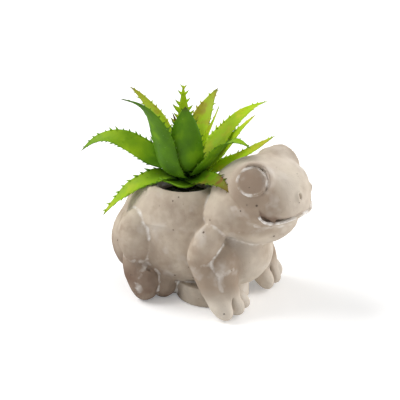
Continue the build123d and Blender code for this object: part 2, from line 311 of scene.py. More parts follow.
@dataclass(frozen=True)
class CementFinish:
    """Cast cement: warm grey, cloudy, with pinholes and white bloom in the creases, and with painted light
    and shade on some zones.

    Clouds are a scale and two levels, specks are a scale, a size and a share, and tints are clouds with the
    colour that they bring and how much of it.
    """

    middle: Colour = screen_colour(182, 166, 149)
    pale: Colour = screen_colour(208, 195, 176)
    brown: Colour = screen_colour(156, 137, 119)
    grey: Colour = screen_colour(168, 161, 150)
    bloom: Colour = screen_colour(236, 231, 225)
    # Brown for painted shade, and for some dirt low at the rear.
    shade_and_dirt_brown: Colour = screen_colour(124, 102, 87)
    # Pale colour for painted light on the breast and hands.
    painted_light_pale: Colour = screen_colour(220, 210, 197)
    hole: Colour = screen_colour(88, 74, 62)
    tints: tuple[tuple[Triple, Colour, float], ...] = (
        ((26.0, 0.38, 0.64), pale, 1.0),
        ((48.0, 0.46, 0.70), brown, 0.75),
        ((17.0, 0.48, 0.66), grey, 0.55),
        ((210.0, 0.44, 0.66), pale, 0.30),
    )
    blotch_clouds: Triple = (34.0, 0.30, 0.62)
    low_shade_and_dirt_level: float = 0.45
    front_light_level: float = 0.15
    painted_light_share: float = 0.50
    side_shade_level: float = 0.35
    side_shade_most: float = 0.85
    broken_clouds: Triple = (160.0, 0.36, 0.62)
    bloom_level: float = 0.35
    bloom_range: Pair = (0.30, 0.85)
    dusting_clouds: Triple = (70.0, 0.56, 0.74)
    dusting_share: float = 0.28
    hole_specks: Triple = (330.0, 0.30, 0.10)
    hole_share: float = 0.85
    pore_specks: Triple = (900.0, 0.34, 0.16)
    pore_share: float = 0.45
    roughness: Pair = (0.80, 0.96)
    grain: Pair = (170.0, 0.55)
    grain_depth: float = 0.00045
    powder_height: float = 0.25
    pore_height: float = 0.3
    shine: float = 0.25

    def zones(self, dresser: Dresser) -> dict[str, Socket]:
        """Returns how far inside each zone of the frog a point is, from 0 to 1.

        Args:
            dresser: The material's dresser.

        Returns:
            The zones' masks by name.
        """
        bench = dresser.bench
        places = dict(bench.add("ShaderNodeSeparateXYZ", {0: dresser.place}).outputs.items())
        places["Y"] = bench.math("ABSOLUTE", places["Y"])
        zones = {}
        for name, sides in CEMENT_ZONES.items():
            inside = [bench.remap(places[axis], start, full) for axis, start, full in sides]
            zones[name] = bench.times(*inside) if len(inside) > 1 else inside[0]
        return zones

    def paint_light_and_shade(self, dresser: Dresser, colour: Socket) -> Socket:
        """Returns the colour with painted shade and some brown dirt low at the rear, painted light on the
        breast and hands, painted shade on the outer sides of the limbs and cheeks, and painted shade in the
        eyes and mouth corners.

        Args:
            dresser: The material's dresser.
            colour: The colour so far.

        Returns:
            The colour with its painted light and shade.
        """
        bench = dresser.bench
        zones = self.zones(dresser)
        blotches = dresser.clouds(self.blotch_clouds)
        # Painted shade near the floor at the rear, with some brown dirt: the hind feet darken towards the
        # floor.
        low_shade_and_dirt = bench.times(zones["low_down"], bench.plus(blotches, self.low_shade_and_dirt_level))
        colour = bench.mix(bench.math("MINIMUM", low_shade_and_dirt, 1.0), colour, self.shade_and_dirt_brown)
        inner = bench.minus(1.0, zones["outer"])
        # Painted light: the inner breast is paler where bounce light from the floor falls.
        front = bench.times(zones["front"], bench.plus(blotches, self.front_light_level), inner)
        colour = bench.mix(bench.times(front, self.painted_light_share), colour, self.painted_light_pale)
        # Painted shade: the outer sides of the cheeks and lower limbs, which face the camera, are browner.
        side_shade = bench.times(zones["outer"], bench.math("MAXIMUM", zones["limbs"], zones["cheeks"]))
        side_shade = bench.times(side_shade, bench.plus(blotches, self.side_shade_level))
        colour = bench.mix(bench.math("MINIMUM", side_shade, self.side_shade_most), colour, self.brown)
        # Painted shade in the eyes' discs and the corners of the mouth.
        colour = bench.mix(bench.attribute("grime"), colour, self.shade_and_dirt_brown)
        # Painted light: the hands near the floor are paler where bounce light falls.
        return bench.mix(bench.times(zones["hands"], self.painted_light_share), colour, self.painted_light_pale)

    def build(self) -> Material:
        """Makes the material.

        Returns:
            The finished material.
        """
        dresser = Dresser("cast_cement")
        bench = dresser.bench
        colour = self.middle
        for clouds, tint, share in self.tints:
            colour = bench.mix(bench.times(dresser.clouds(clouds), share), colour, tint)
        colour = self.paint_light_and_shade(dresser, colour)
        broken = dresser.clouds(self.broken_clouds)
        seams = bench.times(bench.attribute("crease"), bench.plus(broken, self.bloom_level))
        dusting = bench.times(dresser.clouds(self.dusting_clouds), self.dusting_share)
        powder = bench.plus(bench.remap(seams, *self.bloom_range), dusting)
        colour = bench.mix(bench.math("MINIMUM", powder, 1.0), colour, self.bloom)
        holes = dresser.specks(self.hole_specks)
        pores = dresser.specks(self.pore_specks)
        colour = bench.mix(bench.times(pores, self.pore_share), colour, self.brown)
        colour = bench.mix(bench.times(holes, self.hole_share), colour, self.hole)
        lumps = bench.plus(dresser.grain(self.grain), bench.times(powder, self.powder_height))
        pitted = bench.minus(lumps, bench.plus(holes, bench.times(pores, self.pore_height)))
        roughness = bench.remap(broken, 0.0, 1.0, *self.roughness)
        return dresser.finish(colour, roughness, pitted, self.grain_depth, Specular_IOR_Level=self.shine)


@dataclass(frozen=True)
class LeafFinish:
    """Soft moulded plastic: dark green to yellow-green, brown towards some tips, with fine glittering bumps.

    A leaf's level runs from dark green at 0 to yellow at 1. Ranges give where a colour starts and where it is
    full, and then how much of it there is at both.
    """

    deep: Colour = screen_colour(34, 72, 2)
    green: Colour = screen_colour(94, 142, 14)
    fresh: Colour = screen_colour(170, 204, 24)
    yellow: Colour = screen_colour(200, 200, 48)
    brown: Colour = screen_colour(128, 92, 38)
    tip: Colour = screen_colour(74, 66, 34)
    glitter: Colour = screen_colour(176, 206, 142)
    broken_clouds: Triple = (55.0, 0.36, 0.66)
    broken_share: float = 0.22
    rise_range: Pair = (0.02, 0.42)
    rise_share: float = 0.75
    root_share: float = 0.32
    green_range: Pair = (0.05, 0.42)
    fresh_range: Pair = (0.35, 0.85)
    patch_clouds: Triple = (95.0, 0.50, 0.66)
    yellow_range: tuple[float, ...] = (0.55, 1.0, 0.0, 0.75)
    far_range: Pair = (0.45, 1.05)
    patch_share: float = 0.55
    brown_range: Pair = (0.15, 0.95)
    tip_range: tuple[float, ...] = (0.93, 1.0, 0.0, 0.8)
    spike_range: tuple[float, ...] = (0.35, 1.0, 0.0, 0.75)
    fleck_specks: Triple = (480.0, 0.40, 0.20)
    fleck_share: float = 0.30
    glint_specks: Triple = (620.0, 0.34, 0.22)
    glint_range: tuple[float, ...] = (0.15, 0.60, 0.34, 0.10)
    glint_height: float = 0.9
    roughness: Pair = (0.46, 0.62)
    grain: Pair = (420.0, 0.6)
    grain_depth: float = 0.00012
    shine: float = 0.16

    def build(self) -> Material:
        """Makes the material.

        Returns:
            The finished material.
        """
        dresser = Dresser("leaf_plastic")
        bench = dresser.bench
        along = bench.attribute("along")
        broken = dresser.clouds(self.broken_clouds)
        rise = bench.plus(bench.times(bench.remap(along, *self.rise_range), self.rise_share), self.root_share)
        level = bench.times(bench.attribute("lightness"), rise)
        level = bench.plus(level, bench.times(bench.minus(broken, 0.5), self.broken_share))
        colour = bench.mix(bench.remap(level, *self.green_range), self.deep, self.green)
        colour = bench.mix(bench.remap(level, *self.fresh_range), colour, self.fresh)
        patch = dresser.clouds(self.patch_clouds)
        colour = bench.mix(bench.times(patch, bench.remap(level, *self.yellow_range)), colour, self.yellow)
        far = bench.plus(bench.remap(along, *self.far_range), bench.times(patch, self.patch_share))
        browned = bench.remap(bench.times(far, bench.attribute("browning")), *self.brown_range)
        colour = bench.mix(browned, colour, self.brown)
        colour = bench.mix(bench.remap(along, *self.tip_range), colour, self.tip)
        colour = bench.mix(bench.remap(bench.attribute("spike"), *self.spike_range), colour, self.tip)
        flecks = bench.times(dresser.specks(self.fleck_specks), self.fleck_share)
        colour = bench.mix(flecks, colour, self.deep)
        glints = dresser.specks(self.glint_specks)
        colour = bench.mix(bench.times(glints, bench.remap(level, *self.glint_range)), colour, self.glitter)
        height = bench.plus(dresser.grain(self.grain), bench.times(glints, self.glint_height))
        roughness = bench.remap(broken, 0.0, 1.0, *self.roughness)
        return dresser.finish(colour, roughness, height, self.grain_depth, Specular_IOR_Level=self.shine)


@dataclass(frozen=True)
class PlainFinish:
    """One colour with patches of a second, on a fine relief: rubbed hard plastic, or felt with lint."""

    name: str
    colour: Colour
    patch: Colour
    clouds: Triple
    share: float
    roughness: Pair
    grain: Pair
    depth: float
    sheen: float = 0.0

    def build(self) -> Material:
        """Makes the material.

        Returns:
            The finished material.
        """
        dresser = Dresser(self.name)
        bench = dresser.bench
        patches = dresser.clouds(self.clouds)
        colour = bench.mix(bench.times(patches, self.share), self.colour, self.patch)
        roughness = bench.remap(patches, 0.0, 1.0, *self.roughness)
        grain = dresser.grain(self.grain)
        return dresser.finish(colour, roughness, grain, self.depth, Sheen_Weight=self.sheen)


STEM_PLASTIC = PlainFinish(
    "stem_plastic", screen_colour(48, 66, 30), screen_colour(70, 90, 44),
    (240.0, 0.45, 0.70), 0.6, (0.45, 0.60), (700.0, 0.3), 0.00004,
)
COLLAR_PLASTIC = PlainFinish(
    "collar_plastic", screen_colour(16, 17, 15), screen_colour(34, 36, 32),
    (240.0, 0.45, 0.70), 0.6, (0.18, 0.33), (700.0, 0.3), 0.00004,
)
PRESSED_FELT = PlainFinish(
    "pressed_felt", screen_colour(58, 52, 48), screen_colour(104, 96, 88),
    (1500.0, 0.45, 0.65), 0.55, (0.90, 1.0), (1200.0, 0.9), 0.00025, sheen=0.3,
)


@dataclass(frozen=True)
class FoamFinish:
    """Dry dark foam with open pores and dust on its top."""

    body: Colour = screen_colour(46, 50, 34)
    dusty: Colour = screen_colour(84, 84, 62)
    pore: Colour = screen_colour(14, 16, 10)
    pore_specks: Triple = (900.0, 0.5, 0.6)
    pore_share: float = 0.85
    dust_clouds: Triple = (180.0, 0.48, 0.70)
    dust_share: float = 0.6
    roughness: Pair = (0.88, 0.98)
    grain: Pair = (500.0, 0.8)
    depth: float = 0.0005

    def build(self) -> Material:
        """Makes the material.

        Returns:
            The finished material.
        """
        dresser = Dresser("dry_foam")
        bench = dresser.bench
        pores = dresser.specks(self.pore_specks)
        dust = dresser.clouds(self.dust_clouds)
        colour = bench.mix(bench.times(dust, self.dust_share), self.body, self.dusty)
        colour = bench.mix(bench.times(pores, self.pore_share), colour, self.pore)
        roughness = bench.remap(dust, 0.0, 1.0, *self.roughness)
        return dresser.finish(colour, roughness, bench.minus(dresser.grain(self.grain), pores), self.depth)


@dataclass(frozen=True)
class SteelFinish:
    """Drawn steel wire with lengthwise scratches and a few rust specks."""

    bright: Colour = screen_colour(188, 188, 190)
    dull: Colour = screen_colour(128, 126, 124)
    rust: Colour = screen_colour(112, 66, 36)
    drawn_out: Triple = (1.0, 1.0, 0.04)
    scratch_clouds: Triple = (2600.0, 0.40, 0.65)
    rust_specks: Triple = (700.0, 0.4, 0.05)
    rust_share: float = 0.7
    roughness: Pair = (0.25, 0.45)
    depth: float = 0.00002

    def build(self) -> Material:
        """Makes the material.

        Returns:
            The finished material.
        """
        dresser = Dresser("drawn_steel")
        bench = dresser.bench
        rusty = bench.times(dresser.specks(self.rust_specks), self.rust_share)
        drawn = bench.add("ShaderNodeMapping", {"Vector": dresser.place, "Scale": self.drawn_out}).outputs[0]
        scratches = CLOUDS.place(bench, drawn, *self.scratch_clouds)
        colour = bench.mix(rusty, bench.mix(scratches, self.bright, self.dull), self.rust)
        roughness = bench.remap(scratches, 0.0, 1.0, *self.roughness)
        return dresser.finish(colour, roughness, scratches, self.depth, Metallic=1.0)


def mesh_object(
    name: str,
    points: Array,
    faces: Array,
    material: Material,
    attributes: dict[str, Array] | None = None,
) -> bpy.types.Object:
    """Makes a smooth mesh object at the origin.

    Args:
        name: The piece's name.
        points: Its points, in millimetres.
        faces: Its faces, each row the same number of point indices.
        material: Its finish.
        attributes: Named values, one number or one vector for each point.

    Returns:
        The new object.
    """
    mesh = bpy.data.meshes.new(name)
    mesh.vertices.add(len(points))
    mesh.vertices.foreach_set("co", (points * MM).astype(np.float32).ravel())
    if len(faces):
        mesh.loops.add(faces.size)
        mesh.loops.foreach_set("vertex_index", faces.astype(np.int32).ravel())
        mesh.polygons.add(len(faces))
        mesh.polygons.foreach_set("loop_start", np.arange(0, faces.size, faces.shape[1], dtype=np.int32))
        mesh.update()
        mesh.polygons.foreach_set("use_smooth", np.ones(len(faces), dtype=bool))
    for label, values in (attributes or {}).items():
        kind, key = ("FLOAT", "value") if values.ndim == 1 else ("FLOAT_VECTOR", "vector")
        layer = mesh.attributes.new(label, kind, "POINT")
        layer.data.foreach_set(key, values.astype(np.float32).ravel())
    mesh.update()
    mesh.materials.append(material)
    made = bpy.data.objects.new(name, mesh)
    bpy.context.scene.collection.objects.link(made)
    return made


def lathe(profile: Sequence[Pair], around: int) -> tuple[Array, Array]:
    """Turns a closed profile about the Z axis.

    Args:
        profile: Radius and height of each point, anticlockwise with +Z up and the radius to the right.
        around: How many steps go round.

    Returns:
        The points and the faces.
    """
    angles = np.arange(around) * (math.tau / around)
    outline = np.array(profile, dtype=float)
    rings = [np.stack([r * np.cos(angles), r * np.sin(angles), np.full(around, z)], 1) for r, z in outline]
    points = np.concatenate(rings)
    faces = []
    for ring in range(len(outline)):
        here = ring * around
        there = ((ring + 1) % len(outline)) * around
        for step in range(around):
            after = (step + 1) % around
            faces.append((here + step, here + after, there + after, there + step))
    return points, np.array(faces)


def dress(made: bpy.types.Object, body: str, slot: str, *nodes: str) -> bpy.types.Object:
    """Makes a finished piece ride on its body and stand for its CAD nodes.

    Args:
        made: The piece.
        body: The CAD body that it moves with.
        slot: Not used.
        nodes: The CAD nodes that it stands for.

    Returns:
        The same piece.
    """
    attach(made, body)
    if nodes:
        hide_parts(*nodes)
    log.info("%s rides on %s, %d points", made.name, body, len(made.data.vertices))
    return made


def paint_node(node: str, material: Material) -> None:
    """Gives a CAD node that is shown as it is a better material.

    Args:
        node: The node's name.
        material: The material.
    """
    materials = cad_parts[node].data.materials
    materials.clear()
    materials.append(material)
    log.info("%s keeps its solid, in %s", node, material.name)


class Clay:
    """Soft joins of rounded masses, which can also note how near each point is to a crease."""

    def __init__(self, crease_width: float | None = None) -> None:
        """Keeps how wide the noted creases are, in millimetres, or None to note nothing."""
        self.crease_width = crease_width
        self.crease: Array | None = None

    def join(self, first: Array, second: Array, soften: float) -> Array:
        """Joins two masses.

        Args:
            first: Distances to the first mass.
            second: Distances to the second mass.
            soften: How broad the blend between them is, in millimetres.

        Returns:
            Distances to the joined mass.
        """
        apart = np.abs(first - second)
        lower = np.minimum(first, second)
        if self.crease_width is not None:
            seam = np.exp(-(apart + 2.0 * np.maximum(lower, 0.0)) / self.crease_width)
            self.crease = seam if self.crease is None else np.maximum(self.crease, seam)
        blend = np.maximum(soften - apart, 0.0) / soften
        return lower - blend * blend * soften * 0.25

    def dust(self, distance: Array, faded: float, width: float) -> None:
        """Notes a dusty line, some way from each point, which fades over its width from a little faded."""
        if self.crease is not None:
            self.crease = np.maximum(self.crease, np.exp(-(distance + faded) / width))

    @staticmethod
    def cut(first: Array, second: Array, soften: float) -> Array:
        """Cuts the second mass out of the first, with an edge rounded over soften millimetres.

        Args:
            first: Distances to the first.
            second: Distances to the second.
            soften: The edge's width.

        Returns:
            Distances to what is left.
        """
        apart = np.abs(first + second)
        blend = np.maximum(soften - apart, 0.0) / soften
        return np.maximum(first, -second) + blend * blend * soften * 0.25


def ellipsoid(points: Array, center: Array, radii: Array, tilt: float = 0.0) -> Array:
    """Returns distances to an ellipsoid, tilted nose up by tilt degrees.

    Args:
        points: The points, in millimetres.
        center: Its center.
        radii: Its radii.
        tilt: How far it is tilted.

    Returns:
        The distances, in millimetres and less than 0 inside.
    """
    local = points - center
    if tilt:
        c, s = math.cos(math.radians(tilt)), math.sin(math.radians(tilt))
        x, y, z = local.T
        local = np.stack([x * c + z * s, y, z * c - x * s], 1)
    return rounded(local, radii)


def rounded(local: Array, radii: Array) -> Array:
    """Returns distances to an ellipsoid about the origin.

    Args:
        local: The points, from its center.
        radii: Its radii.

    Returns:
        The distances.
    """
    reach = np.sqrt(((local / radii) ** 2).sum(1))
    slope = np.sqrt(((local / (radii * radii)) ** 2).sum(1)) + 1e-9
    return reach * (reach - 1.0) / slope


def limb(points: Array, start: Array, end: Array, radius: float, overlap: float = 0.8) -> Array:
    """Returns distances to a long ellipsoid that reaches past both its points by overlap radii.

    Args:
        points: The points, in millimetres.
        start: One end of its course.
        end: The other end.
        radius: Its radius in the middle.
        overlap: How far it reaches past them, in radii.

    Returns:
        The distances.
    """
    span = end - start
    length = float(np.linalg.norm(span))
    axis = span / length
    local = points - (start + end) / 2.0
    lengthwise = local @ axis
    across = np.sqrt(np.maximum((local**2).sum(1) - lengthwise**2, 0.0))
    flat = np.stack([across, lengthwise], 1)
    return rounded(flat, np.array([radius, length / 2.0 + overlap * radius]))


def slit(points: Array, start: Array, end: Array, half_width: float, depth: float) -> Array:
    """Returns distances to a thin upright blade that runs from one point to another, for cutting a groove.

    Args:
        points: The points, in millimetres.
        start: One end of the groove.
        end: The other end.
        half_width: Half the groove's width.
        depth: The groove's depth.

    Returns:
        The distances.
    """
    length = float(np.linalg.norm(end - start))
    along = (end - start) / length
    across = np.cross(along, np.array([0.0, 0.0, 1.0]))
    across = across / np.linalg.norm(across)
    local = points - (start + end) / 2.0
    turned = np.stack([local @ along, local @ across, local @ np.cross(across, along)], 1)
    return rounded(turned, np.array([length / 2.0 + depth, half_width, depth]))


def steepness(shape: Callable[[Array], Array], points: Array, probe: float = 0.15) -> Array:
    """Returns the gradient of a distance function at each point, measured over twice the probe's length.

    Args:
        shape: The distance function.
        points: The points, in millimetres.
        probe: How far from a point it is read.

    Returns:
        The gradients.
    """
    slope = np.empty_like(points)
    for axis in range(3):
        shift = np.zeros(3)
        shift[axis] = probe
        slope[:, axis] = (shape(points + shift) - shape(points - shift)) / (2.0 * probe)
    return slope


@dataclass
class SurfaceNet:
    """Meshes a distance function with even quads, one point for each grid cell that the surface crosses."""

    shape: Callable[[Array], Array]
    low: Triple
    high: Triple
    step: float
    coarseness: int = 4
    band: float = 0.9
    rounds: int = 2
    least_slope: float = 0.2

    def sample(self) -> tuple[Array, Array]:
        """Samples the function: coarsely all over, and finely only near the surface.

        Returns:
            The values on the fine grid, and the grid's first point.
        """
        wide = self.step * self.coarseness
        axes = [np.arange(self.low[i] - wide, self.high[i] + 2.0 * wide, wide) for i in range(3)]
        grid = np.stack(np.meshgrid(*axes, indexing="ij"), -1).reshape(-1, 3)
        values = self.shape(grid).reshape([len(axis) for axis in axes])
        for axis in range(3):
            values = self.refine(values, axis)
        near = np.abs(values) < wide * self.band
        start = np.array([axis[0] for axis in axes])
        values[near] = self.shape(start + self.step * np.argwhere(near))
        return values, start

    def refine(self, values: Array, axis: int) -> Array:
        """Fills in the fine grid's values along one axis by straight interpolation.

        Args:
            values: The coarse grid's values.
            axis: The axis along which they are filled in.

        Returns:
            The values with the finer steps along the axis.
        """
        moved = np.moveaxis(values, axis, 0)
        fine = np.empty(((len(moved) - 1) * self.coarseness + 1,) + moved.shape[1:])
        for part in range(self.coarseness):
            share = part / self.coarseness
            fine[part : -1 : self.coarseness] = moved[:-1] * (1.0 - share) + moved[1:] * share
        fine[-1] = moved[-1]
        return np.moveaxis(fine, 0, axis)

    def mesh(self) -> tuple[Array, Array]:
        """Returns the points, in millimetres, and the quads of the surface.

        Returns:
            The points and the quads.
        """
        values, start = self.sample()
        inside = values < 0.0
        cells, index = self.crossed_cells(inside)
        points = start + self.step * (cells + self.cell_middles(values, cells))
        quads = np.concatenate([self.quads_across(inside, index, axis) for axis in range(3)])
        for _ in range(self.rounds):
            slope = steepness(self.shape, points)
            squared = np.maximum((slope**2).sum(1), self.least_slope)
            push = self.shape(points)[:, None] * slope / squared[:, None]
            points = points - push.clip(-self.step, self.step)
        return points, quads

    @staticmethod
    def crossed_cells(inside: Array) -> tuple[Array, Array]:
        """Returns the cells that the surface crosses, and a grid that gives each of them its number.

        Args:
            inside: Whether each point of the grid is inside the surface.

        Returns:
            The cells' first corners, and the grid of their numbers.
        """
        size = [length - 1 for length in inside.shape]
        count = np.zeros(size, dtype=np.int8)
        for corner in np.ndindex(2, 2, 2):
            window = tuple(slice(first, first + length) for first, length in zip(corner, size))
            count += inside[window]
        crossed = (count > 0) & (count < 8)
        cells = np.argwhere(crossed)
        index = np.full(size, -1, dtype=np.int64)
        index[crossed] = np.arange(len(cells))
        return cells, index

    @staticmethod
    def cell_middles(values: Array, cells: Array) -> Array:
        """Returns the mean of the places where the surface crosses each cell's edges, in shares of it.

        Args:
            values: The grid's values.
            cells: The cells' first corners.

        Returns:
            One place in each cell, in shares of its size.
        """
        corners = np.array(list(np.ndindex(2, 2, 2)))
        at_corner = [values[tuple((cells + corner).T)] for corner in corners]
        total = np.zeros((len(cells), 3))
        count = np.zeros(len(cells))
        for first, second in np.ndindex(8, 8):
            if second <= first or np.abs(corners[first] - corners[second]).sum() != 1:
                continue
            crossed = (at_corner[first] < 0.0) != (at_corner[second] < 0.0)
            one, other = at_corner[first][crossed], at_corner[second][crossed]
            share = (one / (one - other))[:, None]
            total[crossed] += corners[first] + (corners[second] - corners[first]) * share
            count[crossed] += 1.0
        return total / count[:, None]

    @staticmethod
    def quads_across(inside: Array, index: Array, axis: int) -> Array:
        """Returns the quads across the grid edges along one axis that the surface crosses.

        Args:
            inside: Whether each point of the grid is inside the surface.
            index: The grid of the cells' numbers.
            axis: The axis of the edges.

        Returns:
            Four cells' numbers for each quad, in the order that turns it outwards.
        """
        first = [slice(None)] * 3
        second = [slice(None)] * 3
        first[axis] = slice(0, -1)
        second[axis] = slice(1, None)
        edges = np.argwhere(inside[tuple(first)] != inside[tuple(second)])
        one = np.zeros(3, dtype=int)
        other = np.zeros(3, dtype=int)
        one[(axis + 1) % 3] = 1
        other[(axis + 2) % 3] = 1
        around = (edges - one - other, edges - other, edges, edges - one)
        quads = np.stack([index[tuple(cell.T)] for cell in around], 1)
        outwards = inside[tuple(edges.T)]
        quads[~outwards] = quads[~outwards][:, ::-1]
        return quads


def spot(shares: Triple) -> Array:
    """Returns a place or radii in millimetres from shares of the frog's length, width and height."""
    return np.array(shares) * np.array(FROG_SIZES)


class Mass(NamedTuple):
    """A rounded mass of the casting, with its center and radii in shares of the frog's sizes."""

    center: Triple
    radii: Triple
    blend: float = 0.0
    tilt: float = 0.0
    paired: bool = False

    def shape(self, points: Array, mirrored: Array) -> Array:
        """Returns distances to the mass, on both sides where it is paired."""
        where = mirrored if self.paired else points
        return ellipsoid(where, spot(self.center), spot(self.radii), self.tilt)


# The casting's masses. Blends are in millimetres, and paired masses stand on both sides.
BODY_MASSES = {
    "trunk": Mass((-0.013, 0.0, 0.400), (0.300, 0.435, 0.357)),
    "back": Mass((0.000, 0.0, 0.530), (0.253, 0.400, 0.190), 8.0),
    "chest": Mass((0.227, 0.0, 0.330), (0.213, 0.362, 0.230), 8.0),
    "rump": Mass((-0.193, 0.0, 0.296), (0.173, 0.375, 0.243), 5.0),
}
HAUNCH = Mass((-0.147, 0.345, 0.404), (0.095, 0.185, 0.172), 1.4, paired=True)
FOOT_MASSES = {
    "heel": Mass((-0.103, 0.382, 0.117), (0.070, 0.135, 0.122), paired=True),
    "middle_toe": Mass((-0.045, 0.255, 0.096), (0.068, 0.122, 0.102), 1.0, paired=True),
    "inner_toe": Mass((-0.013, 0.145, 0.078), (0.060, 0.112, 0.083), 1.0, paired=True),
}
HEAD_MASSES = {
    "skull": Mass((0.383, 0.0, 0.739), (0.233, 0.362, 0.209), tilt=14.0),
    "muzzle": Mass((0.427, 0.0, 0.696), (0.190, 0.388, 0.139), 4.0),
    "jaw": Mass((0.374, 0.0, 0.612), (0.190, 0.345, 0.195), 3.0),
    "jowl": Mass((0.287, 0.212, 0.626), (0.113, 0.219, 0.139), 4.0, paired=True),
    "brow": Mass((0.430, 0.250, 0.872), (0.075, 0.158, 0.106), 2.0, paired=True),
}


def join_masses(masses: dict[str, Mass], points: Array, mirrored: Array, clay: Clay) -> Array:
    """Returns distances to the masses of a table, each joined to those before it.

    Args:
        masses: The masses by name.
        points: The points, in millimetres.
        mirrored: The points, with those of the right side turned to the left.
        clay: Joins the masses, and may note the creases.

    Returns:
        The distances.
    """
    joined = None
    for mass in masses.values():
        shape = mass.shape(points, mirrored)
        joined = shape if joined is None else clay.join(joined, shape, mass.blend)
    return joined


@dataclass
class HindLeg:
    """A shin and a foot with its toes. Lengths are in millimetres, and shares are of the frog's sizes."""

    shin_shares: tuple[Triple, Triple] = ((-0.167, 0.375, 0.261), (-0.113, 0.412, 0.104))
    shin_radius: float = 9.5
    shin_blend: float = 2.5
    groove_shares: tuple[tuple[Triple, Triple], ...] = (
        ((-0.075, 0.420, 0.190), (-0.047, 0.395, 0.040)),
        ((-0.035, 0.265, 0.165), (-0.012, 0.250, 0.030)),
    )
    groove_half: float = 0.8
    groove_depth: float = 3.0
    groove_edge: float = 1.2

    def shape(self, points: Array, clay: Clay) -> Array:
        """Returns distances to the leg.

        Args:
            points: The points, with those of the right side turned to the left.
            clay: Joins the masses, and may note the creases.

        Returns:
            The distances.
        """
        shin = limb(points, *map(spot, self.shin_shares), self.shin_radius)
        leg = clay.join(shin, join_masses(FOOT_MASSES, points, points, clay), self.shin_blend)
        for ends in self.groove_shares:
            groove = slit(points, *map(spot, ends), self.groove_half, self.groove_depth)
            leg = Clay.cut(leg, groove, self.groove_edge)
        return leg


@dataclass
class Arm:
    """An arm with its hand. Lengths are in millimetres, and shares are of the frog's sizes."""

    shoulder_share: Triple = (0.250, 0.358, 0.535)
    elbow_share: Triple = (0.191, 0.438, 0.370)
    wrist_share: Triple = (0.287, 0.412, 0.104)
    muscle_share: Triple = (0.280, 0.335, 0.335)
    muscle_shares: Triple = (0.065, 0.115, 0.117)
    palm_share: Triple = (0.036, -0.075, -0.012)
    upper_radius: float = 10.0
    lower_radius: float = 8.5
    inner_radius: float = 9.0
    limb_blend: float = 3.0
    muscle_blend: float = 1.8
    finger_shares: tuple[tuple[Triple, Triple, float], ...] = (
        ((-0.013, 0.010, 0.017), (0.047, 0.040, -0.046), 0.088),
        ((0.007, -0.075, 0.026), (0.071, -0.092, -0.045), 0.086),
        ((0.013, -0.175, 0.009), (0.068, -0.222, -0.048), 0.080),
    )
    finger_blend: float = 0.8
    hand_blend: float = 2.5
    groove_shares: tuple[tuple[Triple, Triple], ...] = (
        ((0.018, -0.026, 0.060), (0.098, -0.024, -0.040)),
        ((0.026, -0.126, 0.056), (0.104, -0.158, -0.042)),
    )
    groove_half: float = 0.7
    groove_depth: float = 3.6
    groove_edge: float = 1.2

    def shape(self, points: Array, clay: Clay, step: Triple) -> Array:
        """Returns distances to the arm.

        Args:
            points: The points, in millimetres.
            clay: Joins the masses, and may note the creases.
            step: How far the wrist stands out, in shares.

        Returns:
            The distances, in millimetres.
        """
        shift = spot(step)
        elbow = spot(self.elbow_share) + shift / 2.0
        wrist = spot(self.wrist_share) + shift
        muscle = spot(self.muscle_share) + shift / 2.0
        arm = limb(points, spot(self.shoulder_share), elbow, self.upper_radius)
        arm = clay.join(arm, limb(points, elbow, wrist, self.lower_radius), self.limb_blend)
        arm = clay.join(arm, rounded(points - muscle, spot(self.muscle_shares)), self.muscle_blend)
        inner = limb(points, muscle, wrist + spot(self.palm_share), self.inner_radius)
        arm = Clay().join(clay.join(arm, inner, self.limb_blend), self.hand(points, wrist), self.hand_blend)
        for start, end in self.groove_shares:
            groove = slit(points, wrist + spot(start), wrist + spot(end), self.groove_half, self.groove_depth)
            arm = Clay.cut(arm, groove, self.groove_edge)
        return arm

    def hand(self, points: Array, wrist: Array) -> Array:
        """Returns distances to the fingers, whose thickness is a share of the frog's width.

        Args:
            points: The points, with those of the right side turned to the left.
            wrist: Where the arm ends.

        Returns:
            The distances.
        """
        hand = None
        for start, end, thickness in self.finger_shares:
            radius = float(spot((0.0, thickness, 0.0))[1])
            finger = limb(points, wrist + spot(start), wrist + spot(end), radius)
            hand = finger if hand is None else Clay().join(hand, finger, self.finger_blend)
        return hand


